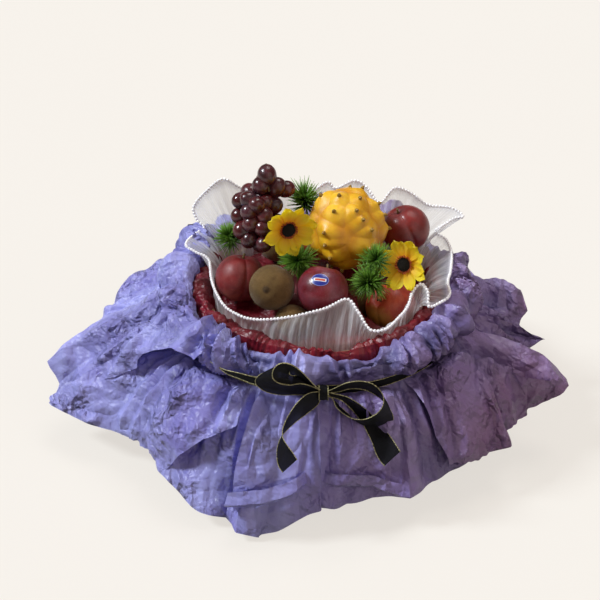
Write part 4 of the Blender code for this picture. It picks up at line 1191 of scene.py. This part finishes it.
# ---------------------------------------------------------------- daisies and fir
def petal_material():
    material, tree, output = new_material("petal_look")
    across, along = uv_parts(tree)
    tint = blend(tree, spread(tree, along, 0.15, 0.75), srgb(255, 192, 8), srgb(255, 232, 20))
    tint = blend(tree, spread(tree, along, 0.05, 0.26, 0.85, 0.0), tint, srgb(184, 76, 14))
    veins = node(tree, "CombineXYZ", {"X": maths(tree, "MULTIPLY", across, 16.0),
                                      "Y": maths(tree, "MULTIPLY", along, 1.5)}).outputs[0]
    vein = node(tree, "TexNoise", {"Scale": 1.0, "Detail": 2.0, "Vector": veins}).outputs["Fac"]
    tint = blend(tree, spread(tree, vein, 0.5, 0.75, 0.0, 0.35), tint, srgb(255, 236, 90))
    normal = bump(tree, vein, 0.0008, 0.6)
    front = principled(tree, None, tint, 0.55, normal, Sheen_Weight=0.2)
    behind = node(tree, "BsdfTranslucent", {"Color": tint})
    surface_mix(tree, output, 0.35, front, behind)
    return material


def eye_material():
    material, tree, output = new_material("daisy_eye_look")
    grain = noise(tree, 1100, 2)
    tint = blend(tree, spread(tree, grain, 0.4, 0.7), srgb(18, 14, 10), srgb(48, 40, 26))
    principled(tree, output, tint, 0.9, bump(tree, grain, 0.0008))
    return material


def petal_shape(length, width, cup, twist, notch, rng):
    """One petal from its root at the origin out along +X, as points, faces and uv."""
    rows, columns = 15, 9
    u, v = np.meshgrid(np.linspace(-1, 1, columns), np.linspace(0, 1, rows))
    widest = 0.64
    narrow = 0.30 + 0.70 * smooth_step(v / widest)
    rounded = np.sqrt(np.clip(1 - ((v - widest) / (1 - widest)) ** 2, 0.03, 1))
    outline = np.where(v < widest, narrow, rounded)
    tip = 1 - notch * np.exp(-(u / 0.35) ** 2) * smooth_step((v - 0.8) / 0.2) - 0.06 * u ** 2 * v ** 3
    x = length * v * tip
    y = width * 0.5 * u * outline
    z = (length * (cup * v ** 1.6 - 0.22 * cup * v ** 4) - 0.18 * width * (1 - u ** 2) * (1 - 0.4 * v)
         + twist * u * v * width * 0.5 + 0.030 * width * np.sin(2.5 * np.pi * u) * v)
    z += 0.04 * length * math.sin(rng.uniform(0, 6)) * np.sin(3 * v)
    points = np.stack([x, y, z], axis=-1).reshape(-1, 3)
    uv = np.stack([(u + 1) / 2 + rng.uniform(0, 50), v], axis=-1).reshape(-1, 2)
    return points, [tuple(f) for f in grid_faces(rows, columns, False)], uv


def daisy(name, centre, radius, direction, spin, cup, seed, root):
    """Artificial daisy: two rows of cupped petals, a bristly dark eye, stamens, and a stem to its root."""
    rng = random.Random(seed)
    shapes = []
    uvs = []
    for row, (count, reach_share, lift) in enumerate(((8, 1.0, -0.0012), (7, 0.88, 0.0008))):
        for k in range(count):
            angle = 2 * math.pi * (k + 0.5 * row) / count + rng.uniform(-0.12, 0.12)
            size = radius * reach_share * rng.uniform(0.88, 1.06)
            points, faces, uv = petal_shape(size - 0.003, radius * rng.uniform(0.39, 0.49),
                                            cup * rng.uniform(0.75, 1.2), rng.uniform(-0.35, 0.35),
                                            rng.uniform(-0.03, 0.07), rng)
            points[:, 0] += 0.003
            points[:, 2] += lift
            turn = np.array(Matrix.Rotation(angle, 3, "Z"))
            shapes.append((points @ turn.T, faces))
            uvs.append(uv)
    turn = aim(direction, spin)
    points, faces = joined(shapes)
    petals = make_piece(name + "_petal_rows", points @ turn.T + centre, faces, look["petal"],
                        uv=np.concatenate(uvs))
    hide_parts(name + "_petals")

    bristles = []
    for k in range(260):
        share = math.sqrt((k + 0.5) / 260)
        angle = k * 2.39996
        base = np.array([math.cos(angle), math.sin(angle), 0]) * share * 0.0074
        base[2] = 0.0015 + 0.0032 * (1 - share ** 2)
        way = np.array([base[0] * 60, base[1] * 60, 1.0]) + np.array([rng.uniform(-0.2, 0.2)] * 3)
        way /= np.linalg.norm(way)
        tall = 0.0016 * rng.uniform(0.7, 1.2)
        bristles.append(path_tube([base, base + way * tall * 0.7, base + way * tall],
                                  [0.00042, 0.00040, 0.00012], 5))
    dome, dome_faces = star_shape(lambda d: 0.0072 + 0 * d[..., 0], 20, 12)
    dome = dome * np.array([1, 1, 0.62]) + np.array([0, 0, 0.0008])
    points, faces = joined([(dome, dome_faces)] + bristles)
    eye = make_piece(name + "_eye_bristles", points @ turn.T + centre, faces, look["eye"])
    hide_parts(name + "_eye")

    stamens = []
    for k in range(46):
        angle = 2 * math.pi * k / 46 + rng.uniform(-0.05, 0.05)
        out = np.array([math.cos(angle), math.sin(angle), 0])
        low = out * 0.0068 + np.array([0, 0, 0.0010])
        high = out * rng.uniform(0.0088, 0.0108) + np.array([0, 0, rng.uniform(0.0026, 0.0042)])
        stamens.append(path_tube([low, (low + high) / 2 + out * 0.0003, high], [0.0005, 0.0005, 0.0007], 5))
    points, faces = joined(stamens)
    ring = make_piece(name + "_stamens", points @ turn.T + centre, faces, look["stamen"])

    back = -turn[:, 2]
    bend = centre + back * 0.014 + np.array([0, 0, -0.004])
    line = [centre + back * 0.001, bend, (bend + root) / 2 + back * 0.003, root]
    points, faces = path_tube(line, 0.0013, 7)
    stem = make_piece(name + "_stem", points, faces, look["needle"])


def stamen_material():
    material, tree, output = new_material("stamen_look")
    tint = blend(tree, noise(tree, 600, 2), srgb(150, 52, 14), srgb(206, 96, 20))
    principled(tree, output, tint, 0.6)
    return material


def needle_material():
    material, tree, output = new_material("fir_look")
    share = shade_of(tree)
    tint = blend(tree, spread(tree, share, 0.1, 0.9), srgb(26, 62, 16), srgb(122, 172, 48))
    patch = noise(tree, 90, 2)
    tint = blend(tree, spread(tree, patch, 0.45, 0.7, 0.0, 0.5), tint, srgb(58, 104, 30))
    principled(tree, output, tint, 0.42, Specular_IOR_Level=0.5)
    return material


NEEDLES = 280
NEEDLE_SPREAD = 1.9


def fir_tuft(node_name, centre, reach, direction, seed):
    """Plastic fir: needles that fan out of a short twig."""
    rng = random.Random(seed)
    shapes = []
    shades = []
    turn = aim(direction)
    twig = reach * 0.75
    for _ in range(NEEDLES):
        t = rng.random()
        base = np.array([0, 0, -0.25 * reach + twig * t * 0.8])
        angle = rng.uniform(0, 2 * math.pi)
        tilt = NEEDLE_SPREAD * (1 - 0.62 * t) * rng.uniform(0.55, 1.0)
        way = np.array([math.sin(tilt) * math.cos(angle), math.sin(tilt) * math.sin(angle), math.cos(tilt)])
        length = reach * rng.uniform(0.72, 1.08)
        droop = np.array([rng.uniform(-1, 1), rng.uniform(-1, 1), rng.uniform(-1, 1)]) * 0.10 * length
        line = np.array([base, base + way * length * 0.5 + droop * 0.4, base + way * length + droop])
        thick = 0.00068 * rng.uniform(0.8, 1.15)
        points, faces = path_tube(line, [thick, thick * 0.95, thick * 0.25], 4)
        shapes.append((points @ turn.T + centre, faces))
        shades.append(np.repeat(np.array([0.15, 0.5, 1.0]) * rng.uniform(0.6, 1.0), 4))
    points, faces = joined(shapes)
    piece = make_piece(node_name + "_needles", points, faces, look["needle"], shades=np.concatenate(shades))
    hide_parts(node_name)
    return piece


# ---------------------------------------------------------------- ribbon
# The bow's width. It was lowered to this after the sheet check failed, and isn't measured.
RIBBON_WIDTH = 0.018

# The two edges of each stretch of the bow, in mm. These ten lists are a helper script's output: spots
# along the ribbon in the photo, at guessed depths, put through a guessed camera.
LOOP_LEFT_FRONT = [
    (3, -188, 160), (-5, -192, 169), (-14, -195, 183), (-21, -197, 193), (-29, -198, 201),
    (-37, -198, 204), (-45, -198, 202), (-50, -198, 194), (-50, -197, 184), (-44, -197, 178),
    (-33, -195, 174), (-21, -194, 175), (-9, -191, 169), (1, -188, 160),
]
LOOP_LEFT_REAR = [
    (3, -186, 157), (-8, -185, 164), (-21, -184, 172), (-36, -183, 180), (-51, -182, 184),
    (-59, -182, 181), (-66, -182, 176), (-69, -182, 169), (-66, -182, 162), (-57, -182, 155),
    (-42, -183, 152), (-27, -184, 153), (-12, -185, 154), (1, -186, 157),
]
LOOP_RIGHT_FRONT = [
    (6, -188, 160), (15, -193, 169), (26, -197, 178), (39, -199, 182), (51, -201, 181),
    (60, -202, 174), (65, -203, 164), (64, -204, 153), (58, -204, 143), (46, -204, 136),
    (34, -203, 136), (24, -200, 140), (16, -197, 147), (13, -193, 153), (7, -188, 157),
]
LOOP_RIGHT_REAR = [
    (7, -184, 156), (18, -184, 157), (31, -184, 161), (45, -184, 160), (57, -185, 154),
    (68, -186, 144), (76, -187, 131), (77, -188, 121), (72, -188, 111), (61, -188, 109),
    (49, -188, 113), (37, -187, 122), (26, -186, 133), (17, -185, 143), (7, -184, 154),
]
TAIL_LEFT_OUTER = [
    (0, -190, 162), (-12, -194, 163), (-21, -199, 159), (-29, -205, 152), (-36, -211, 142),
    (-40, -217, 134), (-40, -224, 128), (-36, -231, 124), (-30, -236, 118), (-25, -240, 111),
]
TAIL_LEFT_INNER = [
    (1, -188, 158), (-3, -191, 146), (-14, -195, 137), (-26, -202, 131), (-36, -209, 125),
    (-42, -217, 122), (-46, -223, 112), (-46, -229, 101), (-44, -234, 96), (-40, -238, 92),
]
TAIL_RIGHT_INNER = [
    (7, -184, 151), (21, -184, 146), (32, -186, 136), (43, -189, 122), (49, -195, 113),
    (55, -201, 102), (59, -208, 93), (64, -213, 86), (68, -218, 84),
]
TAIL_RIGHT_OUTER = [
    (10, -182, 154), (29, -182, 148), (46, -184, 136), (58, -187, 124), (69, -195, 114),
    (74, -202, 111), (79, -209, 107), (84, -216, 102),
]
END_LEFT_UPPER = [
    (-118, -148, 170), (-104, -157, 167), (-88, -165, 168), (-68, -173, 168), (-42, -178, 170),
    (3, -183, 158),
]
END_LEFT_LOWER = [
    (-115, -150, 170), (-101, -159, 163), (-85, -167, 161), (-69, -175, 160), (-42, -180, 162),
    (3, -185, 156),
]


def organza_material():
    material, tree, output = new_material("organza_look")
    across = uv_parts(tree)[0]
    weave = noise(tree, 700, 2)
    tint = blend(tree, weave, srgb(3, 3, 5), srgb(10, 10, 14))
    normal = bump(tree, noise(tree, 130, 3), 0.0010, 0.5)
    cloth = principled(tree, None, tint, 0.6, normal, Specular_IOR_Level=0.12)
    clear = node(tree, "BsdfTransparent", {"Color": (0.75, 0.75, 0.82, 1.0)})
    hole = spread(tree, across, 0.0, 1.0, 0.01, 0.05)
    surface_mix(tree, output, hole, cloth, clear)
    return material


def gold_material():
    material, tree, output = new_material("gold_edge_look")
    twist = noise(tree, 1300, 1)
    tint = blend(tree, spread(tree, twist, 0.40, 0.62), srgb(80, 76, 44), srgb(214, 206, 150))
    principled(tree, output, tint, 0.38, Metallic=0.35)
    return material


def open_curve(points_mm, steps):
    """Even, smooth curve through points given in millimetres."""
    points = np.array(points_mm, float) * 0.001
    padded_points = np.concatenate([[2 * points[0] - points[1]], points, [2 * points[-1] - points[-2]]])
    place_on = np.linspace(0, len(points) - 1 - 1e-9, steps)
    index = place_on.astype(int)
    t = (place_on - index)[:, None]
    p0, p1, p2, p3 = (padded_points[index + k] for k in range(4))
    return 0.5 * (2 * p1 + (p2 - p0) * t + (2 * p0 - 5 * p1 + 4 * p2 - p3) * t ** 2
                  + (3 * p1 - p0 - 3 * p2 + p3) * t ** 3)


def strip_between(edge, other_edge, seed):
    """Ribbon between two edge curves: grid of points, its uv, and its middle line's length."""
    rng = random.Random(seed)
    columns = 9
    u = np.linspace(0, 1, columns)[None, :, None]
    points = edge[:, None, :] * (1 - u) + other_edge[:, None, :] * u
    normal = grid_normals(points, closed=False)
    row = np.linspace(0, 1, len(edge))[:, None, None]
    ripple = np.sin(u * math.pi) * np.sin(row * rng.uniform(14, 20) + 3 * u + rng.uniform(0, 6))
    points = points + normal * 0.0007 * ripple
    middle = points[:, columns // 2]
    length = np.linalg.norm(np.diff(middle, axis=0), axis=1).sum()
    uv = np.stack(np.broadcast_arrays(u[..., 0], row[..., 0] * length / RIBBON_WIDTH), axis=-1)
    return points, uv, length


def ribbon_pieces(name, pairs, organza, gold):
    """One ribbon piece from pairs of edge curves, and the wire sewn into both edges."""
    shapes, uvs, wires = [], [], []
    total = 0.0
    for number, (edge, other_edge) in enumerate(pairs):
        points, uv, length = strip_between(edge, other_edge, number + 1)
        total += length
        faces = [tuple(face) for face in grid_faces(points.shape[0], points.shape[1], False)]
        shapes.append((points.reshape(-1, 3), faces))
        uvs.append(uv.reshape(-1, 2))
        wires += [path_tube(points[:, 0], 0.00045, 6), path_tube(points[:, -1], 0.00045, 6)]
    points, faces = joined(shapes)
    cloth = make_piece(name + "_organza", points, faces, organza, uv=np.concatenate(uvs))
    points, faces = joined(wires)
    wire = make_piece(name + "_wire", points, faces, gold)
    return cloth, wire, total


def ribbon(organza, gold):
    steps = 110
    band_turn = np.linspace(0, 360, 200)
    band_radius = NECK_RADIUS + 0.0022 + 0.0004 * np.sin(np.radians(band_turn) * 9)
    low_edge = NECK_LOW + 0.0010 + 0.0006 * np.sin(np.radians(band_turn) * 5)
    high_edge = NECK_HIGH - 0.0005 + 0.0006 * np.sin(np.radians(band_turn) * 7)
    lower = polar_points(band_radius, band_turn, low_edge)
    upper = polar_points(band_radius, band_turn, high_edge)
    band, band_wire, band_length = ribbon_pieces("ribbon_band", [(lower, upper)], organza, gold)
    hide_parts("ribbon_band")

    wrap_angle = np.linspace(0, 2 * math.pi, 40)
    knot_left = np.stack([-0.002 + 0 * wrap_angle, -0.1865 + 0.0075 * np.cos(wrap_angle),
                          0.1580 + 0.0080 * np.sin(wrap_angle)], axis=-1)
    knot_right = knot_left + np.array([0.0095, 0.0010, -0.0015])
    loop = open_curve(LOOP_LEFT_FRONT, steps)
    loop_middle = loop.mean(axis=0)
    loop_inside = loop_middle + 0.25 * (loop - loop_middle) + np.array([0, 0.007, 0])
    pairs = [
        (loop, open_curve(LOOP_LEFT_REAR, steps)),
        (loop + np.array([0, 0.0006, 0]), loop_inside),
        (open_curve(LOOP_RIGHT_FRONT, steps), open_curve(LOOP_RIGHT_REAR, steps)),
        (open_curve(TAIL_LEFT_OUTER, steps), open_curve(TAIL_LEFT_INNER, steps)),
        (open_curve(TAIL_RIGHT_INNER, steps), open_curve(TAIL_RIGHT_OUTER, steps)),
        (open_curve(END_LEFT_UPPER, steps), open_curve(END_LEFT_LOWER, steps)),
        (knot_left, knot_right),
    ]
    bow, bow_wire, bow_length = ribbon_pieces("ribbon_bow", pairs, organza, gold)
    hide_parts("ribbon_bow")


def kraft_material():
    material, tree, output = new_material("kraft_board_look")
    tint = blend(tree, noise(tree, 260, 4), srgb(150, 120, 84), srgb(184, 152, 110))
    principled(tree, output, tint, 0.85, bump(tree, noise(tree, 900, 2), 0.0002))
    return material


# ---------------------------------------------------------------- put together
look = {
    "stalk": stalk_material(),
    "petal": petal_material(),
    "eye": eye_material(),
    "stamen": stamen_material(),
    "needle": needle_material(),
    "kiwi": kiwi_material(),
    "plum": skin_material("plum_look", srgb(72, 10, 22), srgb(124, 20, 32), srgb(170, 110, 130)),
    "dark_plum": skin_material("dark_plum_look", srgb(84, 14, 16), srgb(140, 34, 30), srgb(150, 90, 90)),
    "nectarine": skin_material("nectarine_look", srgb(156, 34, 22), srgb(202, 76, 40), srgb(210, 140, 104),
                               patch=srgb(176, 124, 44), patch_share=(0.60, 1.00), gloss=0.42),
    "dark_nectarine": skin_material("dark_nectarine_look", srgb(82, 8, 14), srgb(132, 22, 24),
                                    srgb(180, 110, 100), patch=srgb(160, 78, 40),
                                    patch_share=(0.90, 1.25), gloss=0.46),
}

bpy.data.objects["hatbox"].material_slots[0].material = kraft_material()

lilac = lilac_paper(tissue_material("lilac_tissue_look", srgb(184, 188, 255), srgb(138, 134, 212),
                                    srgb(144, 108, 148), 1.0, 0.14))
red = red_paper(tissue_material("wine_tissue_look", srgb(138, 26, 44), srgb(92, 12, 26),
                                srgb(140, 24, 32), 0.6, 0.08))
net = tulle(tulle_material())
beads = pearls(pearl_material())

kiwi("kiwi_front", 0.0252, 0.0290, (-0.21, -0.867, 0.452), look["kiwi"], 5)
kiwi("kiwi_low", 0.0180, 0.0190, (-0.8, -0.3, 0.3), look["kiwi"], 6)
kiwi("kiwi_shade", 0.0200, 0.0215, (0.7, 0.4, 0.3), look["kiwi"], 7)
kiwi("kiwi_back", 0.0230, 0.0260, (-0.2, 0.9, 0.3), look["kiwi"], 8)

plum_turn = facing((0.2, 0.5, 0.8), (0.3, 0.9, 0.0))
stone_fruit("plum_front", 0.0285, 0.03, (0.2, 0.5, 0.8), (0.3, 0.9, 0.0), look["plum"], 11)
sticker("plum_front", stone_fruit_reach(0.0285, 0.03, 11), plum_turn, (-0.115, -0.558, 0.821), 0.36, 0.26,
        sticker_material())
stone_fruit("plum_back", 0.0285, 0.07, (-0.39, 0.02, 0.916), (0.2, -0.9, 0.2), look["dark_plum"], 12)
stone_fruit("plum_far", 0.0238, 0.04, (0.1, 0.3, 0.9), (0.0, 1.0, 0.0), look["dark_plum"], 13)
stone_fruit("nectarine_left", 0.0284, 0.08, (0.15, 0.308, 0.933), (0.30, -0.80, 0.49),
            look["dark_nectarine"], 14, (-0.2, -0.855, -0.4))
stone_fruit("nectarine_right", 0.0293, 0.05, (-0.55, -0.45, 0.703), (-0.5, -0.8, -0.2), look["nectarine"], 15,
            (-0.6, -0.746, -0.231))
stone_fruit("nectarine_back", 0.0283, 0.06, (0.1, 0.3, 0.95), (0.3, 0.9, 0.0), look["nectarine"], 16,
            (0.3, 0.9, 0.1))

dragon_fruit(dragon_material())
grapes(grape_material())
daisy("flower_left", np.array((-0.035, -0.038, 0.2700)), 0.0325, (0.32, -0.93, 0.12), 12, 0.40, 21,
      np.array((-0.040, -0.004, 0.205)))
daisy("flower_right", np.array((0.094, -0.046, 0.230)), 0.0330, (-0.50, -0.82, 0.31), 30, 0.40, 22,
      np.array((0.088, -0.022, 0.180)))
SPRIGS = {
    "sprig_left": ((-0.101, 0.012, 0.229), 0.0195, (-0.3, -0.5, 0.8)),
    "sprig_back": ((-0.016, 0.060, 0.250), 0.0250, (-0.1, -0.3, 0.95)),
    "sprig_centre": ((-0.022, -0.030, 0.224), 0.0240, (-0.3, -0.7, 0.5)),
    "sprig_right_front": ((0.058, -0.052, 0.211), 0.0245, (-0.5, -0.7, 0.3)),
    "sprig_right_back": ((0.064, -0.034, 0.226), 0.0225, (-0.1, -0.6, 0.7)),
}
for number, (sprig, (centre, reach, way)) in enumerate(SPRIGS.items()):
    fir_tuft(sprig, np.array(centre), reach, way, 31 + number)
ribbon(organza_material(), gold_material())


# ---------------------------------------------------------------- floor, light and camera
def floor_material(colour):
    """Pale floor that half glows, so that it stays even and takes only a soft shadow."""
    material, tree, output = new_material("floor_look")
    tint = blend(tree, noise(tree, 3, 2), colour, tuple(0.99 * channel for channel in colour))
    shadow_side = principled(tree, None, tint, 0.9, Specular_IOR_Level=0.0)
    glow = node(tree, "Emission", {"Color": tint, "Strength": 1.0})
    surface_mix(tree, output, 0.78, shadow_side, glow)
    return material


def sun_light(name, comes_from, softness, power, colour):
    """Even light from one side; softness is its width in degrees."""
    data = bpy.data.lights.new(name, "SUN")
    data.angle = math.radians(softness)
    data.energy = power
    data.color = colour
    lamp = bpy.data.objects.new(name, data)
    lamp.rotation_euler = Vector(comes_from).to_track_quat("Z", "Y").to_euler()
    bpy.context.scene.collection.objects.link(lamp)


floor_mesh = bpy.data.meshes.new("floor")
HALF = 40.0
corners = [(-HALF, -HALF, 0), (HALF, -HALF, 0), (HALF, HALF, 0), (-HALF, HALF, 0)]
floor_mesh.from_pydata(corners, [], [(0, 1, 2, 3)])
floor_mesh.materials.append(floor_material(srgb(244, 239, 232)))
floor = bpy.data.objects.new("floor", floor_mesh)
bpy.context.scene.collection.objects.link(floor)

floor.visible_diffuse = False

scene = bpy.context.scene
world = bpy.data.worlds.new("studio")
world.use_nodes = True
world.node_tree.nodes.clear()
way_seen = node(world.node_tree, "TexCoord").outputs["Generated"]
height = node(world.node_tree, "SeparateXYZ", {0: way_seen}).outputs[2]
strength = spread(world.node_tree, height, -0.4, 0.8, 0.03, 0.30)
sky = node(world.node_tree, "Background", {"Color": (*srgb(250, 234, 226), 1.0), "Strength": strength})
world_output = world.node_tree.nodes.new("ShaderNodeOutputWorld")
world.node_tree.links.new(sky.outputs[0], world_output.inputs["Surface"])
scene.world = world
scene.view_settings.view_transform = "Standard"

sun_light("key", (-1.30, 0.00, 1.30), 12, 3.0, (0.86, 0.94, 1.0))
sun_light("top", (0.35, 0.55, 1.60), 25, 0.9, (1.0, 0.98, 0.95))
sun_light("fill", (1.10, -1.40, 0.90), 60, 0.58, (1.0, 0.86, 0.80))

CAMERA_AIM = Vector((-0.022, 0.0, 0.153))
CAMERA_DISTANCE = 1.60
CAMERA_TILT = math.radians(33)
camera_data = bpy.data.cameras.new("camera")
camera_data.sensor_width = 36
camera_data.lens = 82.1
camera = bpy.data.objects.new("camera", camera_data)
camera.location = CAMERA_AIM + CAMERA_DISTANCE * Vector((0, -math.cos(CAMERA_TILT), math.sin(CAMERA_TILT)))
camera.rotation_euler = (math.pi / 2 - CAMERA_TILT, 0, 0)
scene.collection.objects.link(camera)
scene.camera = camera
